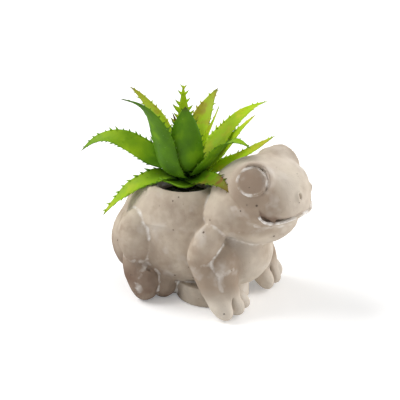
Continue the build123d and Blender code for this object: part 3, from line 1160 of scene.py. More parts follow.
@dataclass
class Face:
    """Eyes, nostrils and mouth, in millimetres, degrees round the face and shares of the frog's sizes."""

    eye_share: Triple = (0.425, 0.325, 0.882)
    eye_way: Triple = (0.30, 0.66, 0.69)
    eye_radius: float = 9.9
    eye_edge: float = 0.6
    disc_height: float = 1.9
    ring_radius: float = 0.85
    ring_inset: float = 0.2
    ring_height: float = 0.4
    ring_dust: Pair = (0.25, 0.5)
    pocket_gap: float = 1.3
    pocket_height: float = -0.2
    pocket_edge: float = 0.9
    boss_radii: Pair = (16.0, 7.6)
    boss_depth: float = 6.4
    boss_blend: float = 5.0
    bead_blend: float = 0.4
    nostril_share: Triple = (0.597, 0.105, 0.780)
    nostril_radii: Triple = (2.4, 3.0, 3.4)
    nostril_blend: float = 2.0
    nostril_step: Triple = (1.6, 0.6, 0.3)
    nostril_hole: Triple = (3.2, 1.0, 2.3)
    nostril_edge: float = 0.6
    smile_center: float = 0.427
    smile_turns: tuple[float, ...] = (0.0, 10.0, 20.0, 30.0, 40.0, 50.0, 60.0, 65.0, 70.0, 73.0, 76.0)
    smile_heights: tuple[float, ...] = (76.5, 77.0, 77.2, 76.7, 75.8, 75.0, 74.7, 75.0, 76.1, 77.4, 79.4)
    opening_turns: Pair = (36.0, 58.0)
    opening_halves: Pair = (0.45, 2.55)
    opening_depths: Pair = (1.2, 2.9)
    opening_edge: float = 0.9
    fade: float = 0.5
    lip_radius: float = 1.3
    lip_drop: float = 0.9
    lip_out: float = 0.6
    lip_blend: float = 0.8
    lip_dust: Pair = (0.15, 0.6)
    reach: float = 12.0
    # Painted shade in the eyes' discs and the corners of the mouth: its strengths, turns round the face,
    # edge, depth and where it starts.
    eye_shade: float = 0.30
    mouth_shade: float = 0.85
    shade_turns: Pair = (42.0, 56.0)
    shade_edge: float = 0.4
    shade_depth: float = 4.0
    shade_start_share: float = 0.35

    def eye_place(self, points: Array) -> tuple[Array, Array]:
        """Returns how far each point is from the eye's axis, and how far it stands out along it.

        Args:
            points: The points, with those of the right side turned to the left.

        Returns:
            The two distances.
        """
        way = np.array(self.eye_way)
        way = way / np.linalg.norm(way)
        local = points - spot(self.eye_share)
        out = local @ way
        across = np.sqrt(np.maximum((local**2).sum(1) - out**2, 0.0))
        return across, out

    def eyes(self, mirrored: Array, head: Array, clay: Clay) -> Array:
        """Returns distances to the head with a disc, a bead and a groove round them for each eye.

        Args:
            mirrored: The points, with those of the right side turned to the left.
            head: Distances to the head so far.
            clay: Joins the masses, and may note the creases.

        Returns:
            The distances.
        """
        across, out = self.eye_place(mirrored)
        disc = np.stack([across, out], 1)
        boss = rounded(disc + np.array([0.0, self.boss_depth]), np.array(self.boss_radii))
        head = Clay().join(head, boss, self.boss_blend)
        pocket = np.maximum(across - self.eye_radius - self.pocket_gap, self.pocket_height - out)
        head = Clay.cut(head, pocket, self.pocket_edge)
        dome = rounded(disc, np.array([self.eye_radius, self.disc_height]))
        head = Clay().join(head, dome, self.bead_blend)
        ring = np.hypot(across - self.eye_radius + self.ring_inset, out - self.ring_height) - self.ring_radius
        clay.dust(np.abs(ring), *self.ring_dust)
        return Clay().join(head, ring, self.bead_blend)

    def nostrils(self, mirrored: Array, head: Array) -> Array:
        """Returns distances to the head with the nostrils, each a low bump with a hole.

        Args:
            mirrored: The points, with those of the right side turned to the left.
            head: Distances to the head so far.

        Returns:
            The distances.
        """
        local = mirrored - spot(self.nostril_share)
        head = Clay().join(head, rounded(local, np.array(self.nostril_radii)), self.nostril_blend)
        hole = rounded(local - np.array(self.nostril_step), np.array(self.nostril_hole))
        return Clay.cut(head, hole, self.nostril_edge)

    def smile(self, points: Array, mirrored: Array) -> tuple[Array, ...]:
        """Follows the line between the lips.

        Args:
            points: The points, in millimetres.
            mirrored: The same points, with those of the right side turned to the left.

        Returns:
            How far round the face each point is, its height over the line, and half the opening's
            height and its depth there.
        """
        center = spot((self.smile_center, 0.0, 0.0))[0]
        turn = np.degrees(np.arctan2(mirrored[:, 1], points[:, 0] - center))
        height = points[:, 2] - np.interp(turn, self.smile_turns, self.smile_heights)
        half = np.interp(turn, self.opening_turns, self.opening_halves)
        return turn, height, half, np.interp(turn, self.opening_turns, self.opening_depths)

    def mouth(self, points: Array, mirrored: Array, head: Array, clay: Clay) -> Array:
        """Returns distances to the head with the smiling mouth, a recess at the corner and a thin lip.

        Args:
            points: The points, in millimetres.
            mirrored: The points, with those of the right side turned to the left.
            head: Distances to the head so far.
            clay: Joins the masses, and may note the creases.

        Returns:
            The distances.
        """
        turn, height, half, depth = self.smile(points, mirrored)
        beyond = np.maximum(turn - self.smile_turns[-1], 0.0) * self.fade
        slope = (depth / (2.0 * half)) * np.maximum(height, 0.0)
        recess = np.maximum(np.abs(height - half) - half, -head - depth + slope)
        recess = np.maximum(recess, beyond)
        lip = np.hypot(height + self.lip_drop, head - self.lip_out) - self.lip_radius + beyond
        near = np.abs(height) < self.reach
        lip = np.where(near, lip, self.reach)
        clay.dust(np.maximum(lip, 0.0), *self.lip_dust)
        cut = Clay.cut(head, np.where(near, recess, self.reach), self.opening_edge)
        return Clay().join(cut, lip, self.lip_blend)

    def grime(self, points: Array, mirrored: Array) -> Array:
        """Returns how much painted shade darkens the cement in the eyes' discs and in the corners of the
        mouth, from 0 to 1.

        Args:
            points: The points, in millimetres.
            mirrored: The points, with those of the right side turned to the left.

        Returns:
            The share of darkness at each point.
        """
        across, out = self.eye_place(mirrored)
        soft = 2.0 * self.eye_edge
        eye = np.clip((self.eye_radius - self.eye_edge - across) / soft, 0.0, 1.0)
        eye = eye * (np.abs(out) < self.shade_depth)
        turn, height, half, _ = self.smile(points, mirrored)
        corner = np.clip(1.3 - np.abs(height - half) / (half + self.shade_edge), 0.0, 1.0)
        corner = corner * np.interp(turn, self.shade_turns, (0.0, 1.0))
        forward = points[:, 0] > spot((self.shade_start_share, 0.0, 0.0))[0]
        on_face = forward & (turn < self.smile_turns[-1] + 1.0)
        return np.maximum(self.eye_shade * eye, self.mouth_shade * corner * on_face)


@dataclass
class FrogBody:
    """The cement casting. Lengths are in millimetres, and shares are of the frog's sizes."""

    nodes: tuple[str, ...] = ("frog_body", "frog_head")
    floor_gap: float = 0.5
    hole_radius: float = 20.5
    hole_bottom: float = 14.0
    hole_edge: float = 3.0
    rim_height: float = 82.0
    rim_edge: float = 4.0
    rim_reach: float = 2.5
    rim_clear: float = 8.0
    neck_wall: float = 7.0
    neck_spread: float = 7.0
    neck_depth: float = 20.0
    neck_blend: float = 7.0
    leg_blend: float = 2.5
    arm_blend: float = 4.5
    left_step: Triple = (0.014, 0.062, 0.0)
    base_radius: float = 26.0
    base_center_x: float = 22.0
    base_height: float = 14.0
    base_blend: float = 0.8
    head_blend: float = 2.2
    pad_spread: float = 14.0
    pocket_radius: float = 5.15
    pocket_top: float = 1.5
    mesh_step: float = 0.94
    crease_width: float = 1.5
    hind_leg: HindLeg = field(default_factory=HindLeg)
    arm: Arm = field(default_factory=Arm)
    face: Face = field(default_factory=Face)

    @staticmethod
    def mirror(points: Array) -> Array:
        """Returns the points with those of the right side turned to the left.

        Args:
            points: The points, in millimetres.

        Returns:
            The turned points.
        """
        mirrored = points.copy()
        mirrored[:, 1] = np.abs(mirrored[:, 1])
        return mirrored

    def neck(self, points: Array) -> Array:
        """Returns distances to the round shoulder that carries the rim.

        Args:
            points: The points, in millimetres.

        Returns:
            The distances.
        """
        across = np.hypot(points[:, 0], points[:, 1])
        below = self.rim_height - points[:, 2]
        slant = self.neck_spread / self.neck_depth
        wall = self.hole_radius + self.neck_wall + slant * below
        side = (across - wall) / math.hypot(1.0, slant)
        return np.maximum(side, below - self.neck_depth)

    def distance(self, points: Array, clay: Clay | None = None) -> Array:
        """Returns how far each point is from the casting's surface, less than 0 inside it.

        Args:
            points: The points, in millimetres.
            clay: Joins the masses, and may note the creases.

        Returns:
            The distances, in millimetres.
        """
        clay = clay or Clay()
        mirrored = self.mirror(points)
        body = join_masses(BODY_MASSES, points, mirrored, clay)
        body = clay.join(body, self.neck(points), self.neck_blend)
        body = clay.join(body, HAUNCH.shape(points, mirrored), HAUNCH.blend)
        body = clay.join(body, self.hind_leg.shape(mirrored, clay), self.leg_blend)
        for side, step in ((1.0, self.left_step), (-1.0, (0.0, 0.0, 0.0))):
            arm = self.arm.shape(points * np.array([1.0, side, 1.0]), clay, step)
            body = Clay().join(body, arm, self.arm_blend)
        across = np.hypot(points[:, 0] - self.base_center_x, points[:, 1]) - self.base_radius
        body = clay.join(body, np.maximum(across, points[:, 2] - self.base_height), self.base_blend)
        body = clay.join(body, self.head(points, mirrored, clay), self.head_blend)
        return self.hollow(points, mirrored, body + self.unevenness(points))

    def head(self, points: Array, mirrored: Array, clay: Clay) -> Array:
        """Returns distances to the head with its face.

        Args:
            points: The points, in millimetres.
            mirrored: The points, with those of the right side turned to the left.
            clay: Joins the masses, and may note the creases.

        Returns:
            The distances.
        """
        head = join_masses(HEAD_MASSES, points, mirrored, clay)
        head = self.face.eyes(mirrored, head, clay)
        head = self.face.mouth(points, mirrored, head, clay)
        return self.face.nostrils(mirrored, head)

    @staticmethod
    def unevenness(points: Array) -> Array:
        """Returns the hand-made unevenness of the surface, a few tenths of a millimetre.

        Args:
            points: The points, in millimetres.

        Returns:
            What is added to the distances.
        """
        x, y, z = points.T
        broad = np.sin(0.23 * x + 1.3) * np.sin(0.27 * y + 0.4) * np.sin(0.25 * z + 2.1)
        small = np.sin(0.61 * x + 0.17 * z) * np.sin(0.57 * y - 0.21 * x + 1.0) * np.sin(0.66 * z + 0.19 * y)
        return 0.30 * broad + 0.14 * small

    def hollow(self, points: Array, mirrored: Array, body: Array) -> Array:
        """Cuts the planting hole, the flat soles and the pad pockets.

        Args:
            points: The points, in millimetres.
            mirrored: The same points, with those of the right side turned to the left.
            body: Distances to the uncut casting.

        Returns:
            Distances to the finished casting.
        """
        height = points[:, 2]
        across = np.hypot(points[:, 0], points[:, 1])
        body = np.maximum(body, self.floor_gap - height)
        above = across < self.hole_radius + self.neck_wall + self.rim_reach
        body = Clay.cut(body, np.where(above, self.rim_height - height, self.rim_clear), self.rim_edge)
        hole = np.maximum(across - self.hole_radius, self.hole_bottom - height)
        body = Clay.cut(body, hole, self.hole_edge)
        pad_x = np.abs(points[:, 0] - self.base_center_x) - self.pad_spread
        pocket = np.hypot(pad_x, mirrored[:, 1] - self.pad_spread) - self.pocket_radius
        return np.maximum(body, -np.maximum(pocket, height - self.pocket_top))

    def build(self, cement: Material) -> None:
        """Makes the casting, which stands for its CAD nodes.

        Args:
            cement: The casting's material.
        """
        boxes = [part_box(node) for node in self.nodes]
        low = np.min([box[0] for box in boxes], axis=0)
        high = np.max([box[1] for box in boxes], axis=0)
        net = SurfaceNet(self.distance, tuple(low / MM), tuple(high / MM), self.mesh_step)
        points, quads = net.mesh()
        clay = Clay(self.crease_width)
        self.distance(points, clay)
        # The second mark is the painted shade of the eyes and the corners of the mouth.
        marks = {"crease": clay.crease, "grime": self.face.grime(points, self.mirror(points))}
        made = mesh_object("cement_frog", points, quads, cement, marks)
        dress(made, "frog", "cement", *self.nodes)
        log.info("cement_frog has %d triangles", 2 * len(quads))


@dataclass
class FeltPads:
    """The four felt pads under the base. Lengths are in millimetres."""

    around: int = 40
    edge_round: float = 0.35
    ring_shares: tuple[float, ...] = (0.02, 0.35, 0.7, 1.0)
    fuzz: float = 0.06

    def build(self, felt: Material) -> None:
        """Makes each pad as a disc with soft edges, where its CAD node is.

        Args:
            felt: The pads' material.
        """
        for end in ("rear", "front"):
            for side in ("right", "left"):
                node = f"felt_pad_{end}_{side}"
                low, high = (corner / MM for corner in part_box(node))
                made = mesh_object(f"felt_{end}_{side}", *self.disc(low, high), felt)
                dress(made, "frog", "felt", node)

    def disc(self, low: Vector, high: Vector) -> tuple[Array, Array]:
        """Returns the points and faces of one pad between its lowest and highest corner.

        Args:
            low: The lowest corner.
            high: The highest corner.

        Returns:
            The points and the faces.
        """
        radius = (high.x - low.x) / 2.0
        soft = self.edge_round
        rings = [(share * (radius - soft), low.z) for share in self.ring_shares]
        rings += [(radius, low.z + soft), (radius, high.z - soft)]
        rings += [(share * (radius - soft), high.z) for share in reversed(self.ring_shares)]
        points, faces = lathe(rings, self.around)
        fuzz = self.fuzz * np.sin(5.0 * points[:, 0]) * np.sin(6.0 * points[:, 1] + 1.0)
        middle = (low.z + high.z) / 2.0
        points[:, 2] -= np.abs(fuzz) * np.sign(points[:, 2] - middle)
        points[:, 0] += (low.x + high.x) / 2.0
        points[:, 1] += (low.y + high.y) / 2.0
        return points, faces


@dataclass
class FoamPlug:
    """The foam that holds the plant in the hole. Lengths are in millimetres."""

    bore_radius: float = 3.8
    around: int = 96
    top_rings: int = 14
    wall_rings: int = 12
    bottom_round: float = 1.0
    top_round: float = 0.6
    core: float = 0.05
    roughness: float = 0.55

    def build(self, foam: Material) -> None:
        """Makes the plug with a crumbled top, where its CAD node is.

        Args:
            foam: The plug's material.
        """
        low, high = (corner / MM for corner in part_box("foam_plug"))
        bore_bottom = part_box("stem_sleeve")[0].z / MM
        radius = (high.x - low.x) / 2.0
        edge = self.top_round
        profile = [(self.core, low.z), (radius - self.bottom_round, low.z)]
        wall = np.linspace(low.z + self.bottom_round, high.z - self.bottom_round, self.wall_rings)
        top = np.linspace(radius - edge, self.bore_radius + edge, self.top_rings)
        profile += [(radius, height) for height in wall] + [(across, high.z) for across in top]
        bore = (self.bore_radius, bore_bottom)
        profile += [(self.bore_radius, high.z - edge), bore, (self.core, bore_bottom)]
        points, faces = lathe(profile, self.around)
        made = mesh_object("foam_filling", self.crumble(points, high.z), faces, foam)
        dress(made, "foam", "foam", "foam_plug")

    def crumble(self, points: Array, top: float) -> Array:
        """Returns the points with the top surface lowered unevenly.

        Args:
            points: The points, in millimetres.
            top: The height of the top surface.

        Returns:
            The moved points.
        """
        x, y, z = points.T
        broad = np.sin(1.1 * x + 0.4) * np.sin(0.9 * y + 1.7)
        small = np.sin(2.3 * x - 1.2 * y) * np.sin(1.9 * y + 0.8)
        drop = self.roughness * (0.5 + 0.25 * (broad + small))
        lowered = points.copy()
        lowered[:, 2] = np.where(z > top - 0.5, z - drop, z)
        return lowered


class Tone(Enum):
    """How light a leaf is, from dark green at 0 to yellow-green at 1."""

    DARK = 0.30
    GREEN = 0.40
    MID = 0.55
    FRESH = 0.86
    BRIGHT = 1.15


@dataclass(frozen=True)
class Leaf:
    """One leaf's place and shape. Lengths are in millimetres, and the course is in shares of the length."""

    node: str
    ring: int
    heading: float
    roll: float
    length: float
    width: float
    course: tuple[Pair, ...]
    tone: Tone
    browning: float = 0.0
    thorn_scale: float = 1.0
    fullness: float = 1.7
    base_share: float = 0.5


# Each leaf, with its values in the order of their names above
LEAVES = (
    Leaf("leaf_low_right_rear", 0, 214, -15, 64, 16,
         ((0.26, 0.05), (0.56, -0.09), (0.81, -0.41)), Tone.MID, 0.25, 1.3),
    Leaf("leaf_low_right_front", 0, 330, 30, 54, 13,
         ((0.30, 0.09), (0.66, 0.29), (0.94, 0.13)), Tone.DARK, 1.0),
    Leaf("leaf_low_left_front", 0, 32, 8, 70, 14,
         ((0.26, 0.03), (0.54, 0.23), (0.82, 0.41)), Tone.BRIGHT, 0.3),
    Leaf("leaf_low_left", 0, 96, 0, 60, 15, ((0.36, 0.10), (0.70, 0.22), (0.88, -0.02)), Tone.GREEN, 0.2),
    Leaf("leaf_low_rear", 0, 150, 0, 46, 14, ((0.36, 0.10), (0.66, 0.20), (0.86, 0.00)), Tone.GREEN, 0.5),
    Leaf("leaf_outer_right", 1, 250, 0, 84, 24,
         ((0.30, 0.00), (0.04, 0.60), (0.60, 0.78)), Tone.DARK, 0.0, 1.0, 2.0, 0.88),
    Leaf("leaf_outer_front", 1, 352, 0, 66, 19, ((0.30, 0.02), (0.34, 0.62), (0.74, 0.44)), Tone.DARK),
    Leaf("leaf_outer_left", 1, 47, 0, 68, 15, ((0.34, 0.00), (0.34, 0.28), (0.70, 0.53)), Tone.BRIGHT),
    Leaf("leaf_outer_left_rear", 1, 106, 0, 60, 15,
         ((0.30, 0.00), (0.42, 0.34), (0.76, 0.38)), Tone.GREEN, 0.3),
    Leaf("leaf_middle_rear", 2, 190, -34, 88, 17,
         ((0.28, -0.01), (0.50, 0.40), (0.82, 0.03)), Tone.GREEN, 0.2, 1.0, 1.7, 0.75),
    Leaf("leaf_middle_right", 2, 300, 0, 62, 25,
         ((0.26, 0.00), (0.20, 0.50), (0.24, 0.82)), Tone.DARK, 0.0, 1.0, 2.6, 0.86),
    Leaf("leaf_middle_left", 2, 64, 0, 88, 18, ((0.28, 0.00), (0.36, 0.38), (0.78, 0.375)), Tone.BRIGHT, 0.1),
    Leaf("leaf_middle_left_rear", 2, 140, 0, 62, 15,
         ((0.32, 0.02), (0.42, 0.30), (0.76, 0.26)), Tone.FRESH, 0.2),
    Leaf("leaf_upper_rear", 3, 164, 0, 78, 16, ((0.18, 0.06), (0.22, 0.42), (0.62, 0.55)), Tone.FRESH, 0.8),
    Leaf("leaf_upper_left", 3, 84, 0, 62, 18,
         ((0.18, 0.06), (0.18, 0.48), (0.61, 0.68)), Tone.FRESH, 0.6, 1.0, 2.2),
    Leaf("leaf_top_front", 4, 12, 0, 50, 12, ((0.16, 0.06), (0.26, 0.44), (0.40, 0.78)), Tone.BRIGHT, 0.1),
    Leaf("leaf_top_rear", 4, 120, 0, 56, 11,
         ((0.14, 0.10), (0.14, 0.50), (0.30, 0.81)), Tone.BRIGHT, 0.2, 1.7),
)


@dataclass
class ThornTree:
    """Geometry nodes that stand a hooked thorn on each point of the leaves' edges. Lengths are in metres."""

    length: float = 0.0026
    radius: float = 0.0008
    hook: float = 0.0007
    flatness: float = 0.55
    tip_radius: float = 0.00002
    sides: int = 6
    segments: int = 4
    size_range: Pair = (0.75, 1.2)
    seed: int = 7

    def tree(self) -> bpy.types.NodeTree:
        """Builds the node tree, with named inputs for the thorn's sizes.

        Returns:
            The node tree.
        """
        tree = bpy.data.node_groups.new("edge_thorns", "GeometryNodeTree")
        kinds = {"Edge Points": "Geometry"} | dict.fromkeys(("Length", "Radius", "Hook", "Flatness"), "Float")
        kinds |= {"Seed": "Int", "Finish": "Material"}
        for label, kind in kinds.items():
            tree.interface.new_socket(label, in_out="INPUT", socket_type=f"NodeSocket{kind}")
        tree.interface.new_socket("Thorns", in_out="OUTPUT", socket_type="NodeSocketGeometry")
        bench = NodeBench(tree)
        entry = bench.add("NodeGroupInput").outputs
        thorn = self.thorn(bench, entry)
        way, slope, size = (
            bench.add("GeometryNodeInputNamedAttribute", {"Name": name}, data_type=kind).outputs["Attribute"]
            for name, kind in (("way", "FLOAT_VECTOR"), ("slope", "FLOAT_VECTOR"), ("thorn_size", "FLOAT"))
        )
        axes = {"primary_axis": "Z", "secondary_axis": "X"}
        turn = bench.add("FunctionNodeAxesToRotation", {0: way, 1: slope}, **axes)
        least, most = self.size_range
        jitter = bench.add("FunctionNodeRandomValue", {"Min": least, "Max": most, "Seed": entry["Seed"]})
        random = next(socket for socket in jitter.outputs if socket.enabled)
        scale = bench.times(size, random)
        flat = bench.times(scale, entry["Flatness"])
        sizes = bench.add("ShaderNodeCombineXYZ", {0: scale, 1: flat, 2: scale}).outputs[0]
        stood = bench.add(
            "GeometryNodeInstanceOnPoints",
            {"Points": entry["Edge Points"], "Instance": thorn, "Rotation": turn.outputs[0], "Scale": sizes},
        )
        real = bench.add("GeometryNodeRealizeInstances", {"Geometry": stood.outputs[0]})
        dressed = {"Geometry": real.outputs[0], "Material": entry["Finish"]}
        finish = bench.add("GeometryNodeSetMaterial", dressed)
        bench.add("NodeGroupOutput", {"Thorns": finish.outputs[0]})
        return tree

    def thorn(self, bench: NodeBench, entry: bpy.types.NodeOutputs) -> Socket:
        """Adds the nodes of one thorn, a cone whose tip leans over, with its height noted as spike.

        Args:
            bench: The tree's bench.
            entry: The tree's inputs.

        Returns:
            The thorn's geometry.
        """
        sizes = {"Radius Top": self.tip_radius, "Radius Bottom": entry["Radius"], "Depth": entry["Length"]}
        counts = {"Vertices": self.sides, "Side Segments": self.segments}
        cone = bench.add("GeometryNodeMeshCone", sizes | counts)
        place = bench.add("GeometryNodeInputPosition").outputs[0]
        height = bench.add("ShaderNodeSeparateXYZ", {0: place}).outputs["Z"]
        spike = bench.math("DIVIDE", height, entry["Length"])
        note = {"Geometry": cone.outputs[0], "Name": "spike", "Value": spike}
        noted = bench.add("GeometryNodeStoreNamedAttribute", note)
        lean = bench.times(spike, spike, entry["Hook"])
        shift = bench.add("ShaderNodeCombineXYZ", {0: lean}).outputs[0]
        leaning = {"Geometry": noted.outputs[0], "Offset": shift}
        return bench.add("GeometryNodeSetPosition", leaning).outputs[0]

    def grow(self, edge: bpy.types.Object, finish: Material) -> bpy.types.Mesh:
        """Stands the thorns on the edge's points.

        Args:
            edge: An object whose points carry way, slope and thorn_size.
            finish: The thorns' material.

        Returns:
            The thorns as one plain mesh.
        """
        tree = self.tree()
        modifier = edge.modifiers.new("thorns", "NODES")
        modifier.node_group = tree
        names = ("length", "radius", "hook", "flatness", "seed")
        values = {name.title(): getattr(self, name) for name in names} | {"Finish": finish}
        for item in tree.interface.items_tree:
            if item.in_out == "INPUT" and item.name in values:
                modifier[item.identifier] = values[item.name]
        bpy.context.view_layer.update()
        grown = edge.evaluated_get(bpy.context.evaluated_depsgraph_get())
        mesh = bpy.data.meshes.new_from_object(grown)
        edge.modifiers.remove(modifier)
        return mesh


@dataclass
class Aloe:
    """The artificial plant's leaves and thorns. Lengths are in millimetres."""

    hub_bottom_radius: float = 5.6
    hub_top_radius: float = 4.0
    root_gap: float = 0.35
    first_ring_height: float = 2.2
    ring_step: float = 3.7
    root_width: float = 4.4
    root_taper: int = 8
    blade_thickness: float = 1.9
    edge_thickness: float = 0.45
    hollow_share: float = 0.30
    widest_share: float = 0.33
    rise_power: float = 0.65
    tip_half: float = 0.05
    hollow_start_share: float = 0.25
    hollow_loss: float = 0.4
    thickness_loss: float = 0.6
    thin_half: float = 1.2
    wave: float = 0.35
    wave_turns: float = 17.0
    wave_half: float = 4.0
    upper_lightness: float = 0.12
    heart_length: float = 34.0
    heart_width: float = 6.0
    heart_shrink: float = 0.12
    heart_root_share: float = 0.72
    heart_course: tuple[Pair, ...] = ((0.00, 0.22), (0.08, 0.60), (0.24, 0.96))
    heart_tones: tuple[tuple[Tone, float], ...] = ((Tone.GREEN, 1.2), (Tone.FRESH, 0.8), (Tone.BRIGHT, 0.4))
    heart_heading: float = 250.0
    heart_thorn_scale: float = 0.6
    heart_base_share: float = 0.2
    roll_share: float = 0.27
    thorn_spacing: float = 4.6
    fewest_thorns: int = 4
    thorn_shift: Pair = (0.25, 0.75)
    thorn_reach: Pair = (0.10, 0.975)
    thorn_inset: float = 0.45
    thorn_lean: float = 0.55
    thorn_lift: float = 0.5
    thorn_sizes: Pair = (0.8, 1.15)
    thorn_ends: float = 0.75
    thorn_swell: float = 0.5
    thorn_along: float = 0.85
    skirt_radius: float = 17.2
    skirt_rise: float = 1.6
    skirt_gap: float = 0.4
    skirt_bevel: float = 0.15
    skirt_share: float = 0.6
    skirt_lobe_share: float = 0.07
    skirt_wave: float = 0.7
    skirt_thorn_inset: float = 0.3
    skirt_thorn_scale: float = 0.55
    skirt_rings: int = 8
    skirt_steps: int = 96
    skirt_thorn_gap: int = 4
    along_steps: int = 56
    across_steps: int = 12
    thorn_points: list[dict[str, Array]] = field(default_factory=list)

    def build(self, finish: Material) -> None:
        """Makes every leaf, and then the thorns on all their edges as one piece.

        Args:
            finish: The leaves' material.
        """
        low, high = (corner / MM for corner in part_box("leaf_hub"))
        for leaf in LEAVES:
            height = low.z + self.first_ring_height + leaf.ring * self.ring_step
            share = (height - low.z) / (high.z - low.z)
            hub = self.hub_bottom_radius + (self.hub_top_radius - self.hub_bottom_radius) * share
            self.make_leaf(leaf, hub + self.root_gap, height, finish)
        for index, (tone, browning) in enumerate(self.heart_tones):
            length = self.heart_length * (1.0 - index * self.heart_shrink)
            heading = self.heart_heading + index * 360.0 / len(self.heart_tones)
            node = f"heart_leaf_{index + 1}"
            sizes = (length, self.heart_width, self.heart_course, tone, browning, self.heart_thorn_scale)
            leaf = Leaf(node, 0, heading, 0, *sizes, base_share=self.heart_base_share)
            self.make_leaf(leaf, self.heart_root_share * self.hub_top_radius, high.z, finish)
        self.make_skirt(low.z, finish)
        self.make_thorns(finish)

    def make_skirt(self, bottom: float, finish: Material) -> None:
        """Makes the shallow moulded dish that joins the lowest leaves round the hub, with teeth on its edge.

        Args:
            bottom: The height of the hub's lower end.
            finish: The leaves' material.
        """
        inner, outer = self.hub_bottom_radius + self.skirt_gap, self.skirt_radius
        shares = np.linspace(0.0, 1.0, self.skirt_rings)
        base, thickness = bottom + self.skirt_gap, self.blade_thickness * self.skirt_share
        under = [(inner + share * (outer - inner), base + self.skirt_rise * share**2) for share in shares]
        over = [(radius - self.skirt_bevel, height + thickness) for radius, height in reversed(under)]
        points, faces = lathe(under + over, self.skirt_steps)
        turn = np.arctan2(points[:, 1], points[:, 0])
        spread = np.clip((np.hypot(points[:, 0], points[:, 1]) - inner) / (outer - inner), 0.0, 1.0)
        points[:, :2] *= (1.0 + self.skirt_lobe_share * spread * np.sin(5.0 * turn + 0.6))[:, None]
        points[:, 2] += self.skirt_wave * spread * np.sin(3.0 * turn + 2.0)
        values = {
            "along": 0.10 + 0.30 * spread,
            "lightness": np.full(len(points), Tone.GREEN.value),
            "browning": np.zeros(len(points)),
        }
        dress(mesh_object("leaf_skirt", points, faces, finish, values), "plant", "leaf_plastic")
        edge = np.arange(self.skirt_steps) + (self.skirt_rings - 1) * self.skirt_steps
        places = points[edge[:: self.skirt_thorn_gap]]
        way = places * np.array([1.0, 1.0, 0.0])
        way = way / np.linalg.norm(way, axis=1, keepdims=True)
        self.thorn_points.append({
            "places": places - way * self.skirt_thorn_inset,
            "way": way,
            "slope": np.cross(np.array([0.0, 0.0, 1.0]), way),
            "thorn_size": np.full(len(places), self.skirt_thorn_scale),
            "along": np.full(len(places), 0.3),
            "lightness": np.full(len(places), Tone.GREEN.value),
            "browning": np.zeros(len(places)),
        })

    def course(self, leaf: Leaf, root: float, height: float, shares: Array) -> tuple[Array, ...]:
        """Follows a leaf's curved course.

        Args:
            leaf: The leaf.
            root: How far from the plant's axis it starts.
            height: How high it starts.
            shares: Where along the course, from 0 to 1.

        Returns:
            The middle points, and three unit directions at each: along it, across the blade and inwards.
        """
        heading = math.radians(leaf.heading)
        away = np.array([math.cos(heading), math.sin(heading), 0.0])
        start = away * root + np.array([0.0, 0.0, height])
        guides = [start]
        for out, up in leaf.course:
            guides.append(start + away * (out * leaf.length) + np.array([0.0, 0.0, up * leaf.length]))
        t = shares[:, None]
        weights = ((1 - t) ** 3, 3 * (1 - t) ** 2 * t, 3 * (1 - t) * t**2, t**3)
        middle = sum(guide * weight for guide, weight in zip(guides, weights))
        steps = [after - before for before, after in zip(guides, guides[1:])]
        slope = sum(step * weight for step, weight in zip(steps, ((1 - t) ** 2, 2 * (1 - t) * t, t**2)))
        slope = slope / np.linalg.norm(slope, axis=1, keepdims=True)
        level = np.array([-math.sin(heading), math.cos(heading), 0.0])
        inwards = np.cross(slope, level)
        roll = np.radians(leaf.roll * np.minimum(1.0, shares / self.roll_share))[:, None]
        across = level * np.cos(roll) + inwards * np.sin(roll)
        return middle, slope, across, np.cross(slope, across)

    def half_widths(self, leaf: Leaf, shares: Array) -> Array:
        """Returns half the blade's width at each share of its course.

        Args:
            leaf: The leaf.
            shares: Shares of its course, from 0 to 1.

        Returns:
            The half widths.
        """
        rising = np.sin(np.clip(shares / self.widest_share, 0.0, 1.0) * math.pi / 2.0) ** self.rise_power
        past = np.clip((shares - self.widest_share) / (1.0 - self.widest_share), 0.0, 1.0)
        fullness = 1.0 - past**leaf.fullness
        blade = leaf.width * (leaf.base_share + (1.0 - leaf.base_share) * rising) * fullness
        return np.maximum(blade, self.root_width * (1.0 - shares) ** self.root_taper) / 2.0 + self.tip_half

    def make_leaf(self, leaf: Leaf, root: float, height: float, finish: Material) -> None:
        """Makes one leaf as a closed, hollowed blade, and notes where its thorns stand.

        Args:
            leaf: The leaf.
            root: How far from the plant's axis it starts.
            height: How high it starts.
            finish: Its material.
        """
        shares = np.linspace(0.0, 1.0, self.along_steps)
        middle, slope, across, inwards = self.course(leaf, root, height, shares)
        half = self.half_widths(leaf, shares)
        started = np.sin(np.clip(shares / self.hollow_start_share, 0.0, 1.0) * math.pi / 2.0)
        hollow = self.hollow_share * started * (1.0 - self.hollow_loss * shares**2)
        thinning = np.minimum(1.0, half / self.thin_half)
        thickness = self.blade_thickness * (1.0 - self.thickness_loss * shares) * thinning
        edge = self.edge_thickness * thinning
        wave = self.wave * np.sin(shares * self.wave_turns + leaf.heading)
        wave = wave * np.minimum(1.0, half / self.wave_half)
        there = np.linspace(-1.0, 1.0, self.across_steps + 1)
        rows, sides = [], []
        for side, line in ((-1.0, there), (1.0, there[::-1])):
            for place in line:
                rise = hollow * half * place**2 + wave * place**3
                body = side * (edge + (thickness - edge) * (1.0 - place**2)) / 2.0
                offset = across * (half * place)[:, None] + inwards * (rise + body)[:, None]
                rows.append(middle + offset)
                sides.append(np.full(len(shares), (side + 1.0) / 2.0))
        points = np.stack(rows, 1).reshape(-1, 3)
        values = {
            "along": np.repeat(shares, len(rows)),
            "lightness": leaf.tone.value + self.upper_lightness * np.stack(sides, 1).ravel(),
            "browning": np.full(len(points), leaf.browning),
        }
        name = leaf.node.replace("leaf", "blade")
        made = mesh_object(name, points, self.tube_faces(len(shares), len(rows)), finish, values)
        self.close_ends(made, len(rows))
        dress(made, "plant", "leaf_plastic", leaf.node)
        self.note_thorns(leaf, root, height)

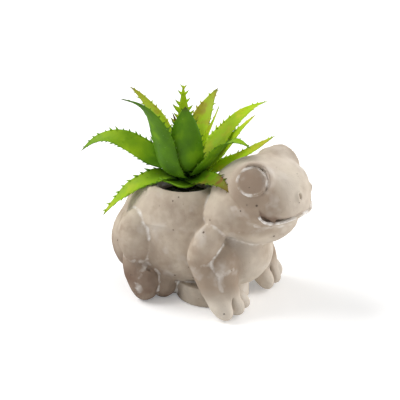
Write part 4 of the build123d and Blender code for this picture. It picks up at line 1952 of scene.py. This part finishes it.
    @staticmethod
    def tube_faces(along: int, around: int) -> Array:
        """Returns the quads of a tube with so many points along and around it.

        Args:
            along: How many rings it has.
            around: How many points a ring has.

        Returns:
            The quads.
        """
        start = np.arange(along - 1)[:, None] * around
        step = np.arange(around)[None, :]
        after = (step + 1) % around
        quads = np.stack([start + step, start + after, start + around + after, start + around + step], -1)
        return quads.reshape(-1, 4)

    @staticmethod
    def close_ends(made: bpy.types.Object, around: int) -> None:
        """Closes a tube's two ends with one face each, turned outwards.

        Args:
            made: The tube.
            around: How many points a ring has.
        """
        bench = bmesh.new()
        bench.from_mesh(made.data)
        bench.verts.ensure_lookup_table()
        last = len(bench.verts) - around
        bench.faces.new([bench.verts[index] for index in reversed(range(around))])
        bench.faces.new([bench.verts[last + index] for index in range(around)])
        bmesh.ops.recalc_face_normals(bench, faces=bench.faces)
        for face in bench.faces:
            face.smooth = len(face.verts) == 4
        bench.to_mesh(made.data)
        bench.free()

    def note_thorns(self, leaf: Leaf, root: float, height: float) -> None:
        """Notes the thorns' places, ways, sizes and colours along both edges of a leaf.

        Args:
            leaf: The leaf.
            root: How far from the plant's axis it starts.
            height: How high it starts.
        """
        rng = np.random.default_rng(int(leaf.heading * 10) + leaf.ring)
        count = max(self.fewest_thorns, int(leaf.length / self.thorn_spacing))
        for side in (-1.0, 1.0):
            shares = (np.arange(count) + rng.uniform(*self.thorn_shift, count)) / count
            shares = np.clip(shares, *self.thorn_reach)
            middle, slope, across, inwards = self.course(leaf, root, height, shares)
            half = self.half_widths(leaf, shares)
            rise = self.hollow_share * half * (1.0 - self.hollow_loss * shares**2)
            rim = (side * (half - self.thorn_inset))[:, None]
            lift = rng.uniform(0.0, self.thorn_lift, count)[:, None]
            swell = self.thorn_ends + self.thorn_swell * np.sin(shares * math.pi)
            size = leaf.thorn_scale * swell * rng.uniform(*self.thorn_sizes, count)
            self.thorn_points.append({
                "places": middle + across * rim + inwards * rise[:, None],
                "way": across * side + slope * self.thorn_lean + inwards * lift,
                "slope": slope,
                "thorn_size": size,
                "along": shares * self.thorn_along,
                "lightness": np.full(count, leaf.tone.value),
                "browning": np.full(count, leaf.browning),
            })

    def make_thorns(self, finish: Material) -> None:
        """Makes the thorns of all leaves as one piece on the plant.

        Args:
            finish: The thorns' material.
        """
        rails = self.thorn_points
        noted = {key: np.concatenate([rail[key] for rail in rails]) for key in rails[0]}
        places = noted.pop("places")
        edge = mesh_object("leaf_edges", places, np.empty((0, 4)), finish, noted)
        mesh = ThornTree().grow(edge, finish)
        bpy.data.objects.remove(edge)
        made = bpy.data.objects.new("leaf_thorns", mesh)
        bpy.context.scene.collection.objects.link(made)
        dress(made, "plant", "leaf_plastic")


@dataclass
class Studio:
    """Floor, light and camera. Angles are in degrees, and lengths in metres."""

    azimuth: float = 27.3
    elevation: float = 22.8
    distance: float = 0.95
    picture_width: int = 400
    metres_per_pixel: float = 0.00072
    origin_pixel: Pair = (185.2, 285.4)
    sensor: float = 36.0
    floor_size: float = 6.0
    floor_glow: float = 0.2
    floor_clouds: Triple = (3.0, 0.3, 0.7)
    floor_tints: tuple[Colour, Colour] = ((0.94, 0.94, 0.94, 1.0), (0.95, 0.95, 0.95, 1.0))
    sky_strength: float = 0.46
    sun_softness: float = 40.0
    left_light: tuple[float, Triple] = (2.3, (-0.72, 0.72, 0.16))
    right_light: tuple[float, Triple] = (1.4, (0.80, 0.55, -0.08))
    low_light: tuple[float, Triple] = (0.9, (0.96, 0.04, 0.14))

    def directions(self) -> tuple[Vector, Vector, Vector]:
        """Returns the unit directions towards the camera, to its right and up in its picture.

        Returns:
            The three directions.
        """
        a, e = math.radians(self.azimuth), math.radians(self.elevation)
        back = Vector((math.sin(a) * math.cos(e), -math.cos(a) * math.cos(e), math.sin(e)))
        right = Vector((math.cos(a), math.sin(a), 0.0))
        return back, right, back.cross(right)

    def build(self) -> None:
        """Makes the camera, the light and the floor."""
        bpy.context.scene.view_settings.view_transform = "Standard"
        self.make_camera()
        self.make_world()
        self.make_light("left_softbox", *self.left_light)
        self.make_light("right_softbox", *self.right_light)
        self.make_light("low_softbox", *self.low_light)
        self.make_floor()

    def make_camera(self) -> None:
        """Places the camera at the photograph's viewing angle."""
        back, right, up = self.directions()
        middle = self.picture_width / 2.0
        aim = right * ((middle - self.origin_pixel[0]) * self.metres_per_pixel)
        aim += up * ((self.origin_pixel[1] - middle) * self.metres_per_pixel)
        lens = bpy.data.cameras.new("camera")
        lens.sensor_width = self.sensor
        lens.lens = self.sensor * self.distance / (self.picture_width * self.metres_per_pixel)
        lens.clip_start = 0.01
        camera = bpy.data.objects.new("camera", lens)
        bpy.context.scene.collection.objects.link(camera)
        camera.location = aim + back * self.distance
        camera.rotation_mode = "QUATERNION"
        camera.rotation_quaternion = back.to_track_quat("Z", "Y")
        bpy.context.scene.camera = camera

    def make_world(self) -> None:
        """Makes an even white sky, which the camera and reflections see as plain white."""
        world = bpy.data.worlds.new("soft_sky")
        bpy.context.scene.world = world
        world.use_nodes = True
        bench = NodeBench(world.node_tree)
        paths = bench.add("ShaderNodeLightPath").outputs
        seen = bench.math("MAXIMUM", paths["Is Camera Ray"], paths["Is Transmission Ray"])
        strength = bench.remap(seen, 0.0, 1.0, self.sky_strength, 1.0)
        sky = world.node_tree.nodes["Background"]
        sky.inputs["Color"].default_value = (1.0, 1.0, 1.0, 1.0)
        world.node_tree.links.new(strength, sky.inputs["Strength"])

    def make_light(self, name: str, strength: float, place: Triple) -> None:
        """Makes one soft light.

        Args:
            name: The light's name.
            strength: How bright it is.
            place: Where it shines from: to the right, up and towards the camera, as the camera sees them.
        """
        back, right, up = self.directions()
        lamp = bpy.data.lights.new(name, "SUN")
        lamp.energy = strength
        lamp.angle = math.radians(self.sun_softness)
        holder = bpy.data.objects.new(name, lamp)
        bpy.context.scene.collection.objects.link(holder)
        holder.rotation_mode = "QUATERNION"
        toward = right * place[0] + up * place[1] + back * place[2]
        holder.rotation_quaternion = toward.to_track_quat("Z", "Y")

    def make_floor(self) -> None:
        """Makes the pale floor, which isn't part of the object."""
        dresser = Dresser("pale_floor")
        bench = dresser.bench
        tint = bench.mix(dresser.clouds(self.floor_clouds), *self.floor_tints)
        paths = bench.add("ShaderNodeLightPath").outputs
        glow = bench.times(paths["Is Camera Ray"], self.floor_glow)
        dresser.connect(Base_Color=tint, Emission_Strength=glow)
        dresser.set(Roughness=0.9, Specular_IOR_Level=0.1)
        half = self.floor_size / (2.0 * MM)
        corners = np.array([(-half, -half, 0.0), (half, -half, 0.0), (half, half, 0.0), (-half, half, 0.0)])
        floor = mesh_object("floor", corners, np.array([[0, 1, 2, 3]]), dresser.material)


def main() -> None:
    """Builds the studio and every part of the planter."""
    logging.basicConfig(level=logging.INFO, format="%(message)s")
    Studio().build()
    FrogBody().build(CementFinish().build())
    FeltPads().build(PRESSED_FELT.build())
    FoamPlug().build(FoamFinish().build())
    leaf_finish = LeafFinish().build()
    Aloe().build(leaf_finish)
    paint_node("stem_sleeve", STEM_PLASTIC.build())
    paint_node("leaf_hub", leaf_finish)
    paint_node("stem_collar", COLLAR_PLASTIC.build())
    paint_node("stem_wire", SteelFinish().build())


if __name__ == "__main__":
    main()
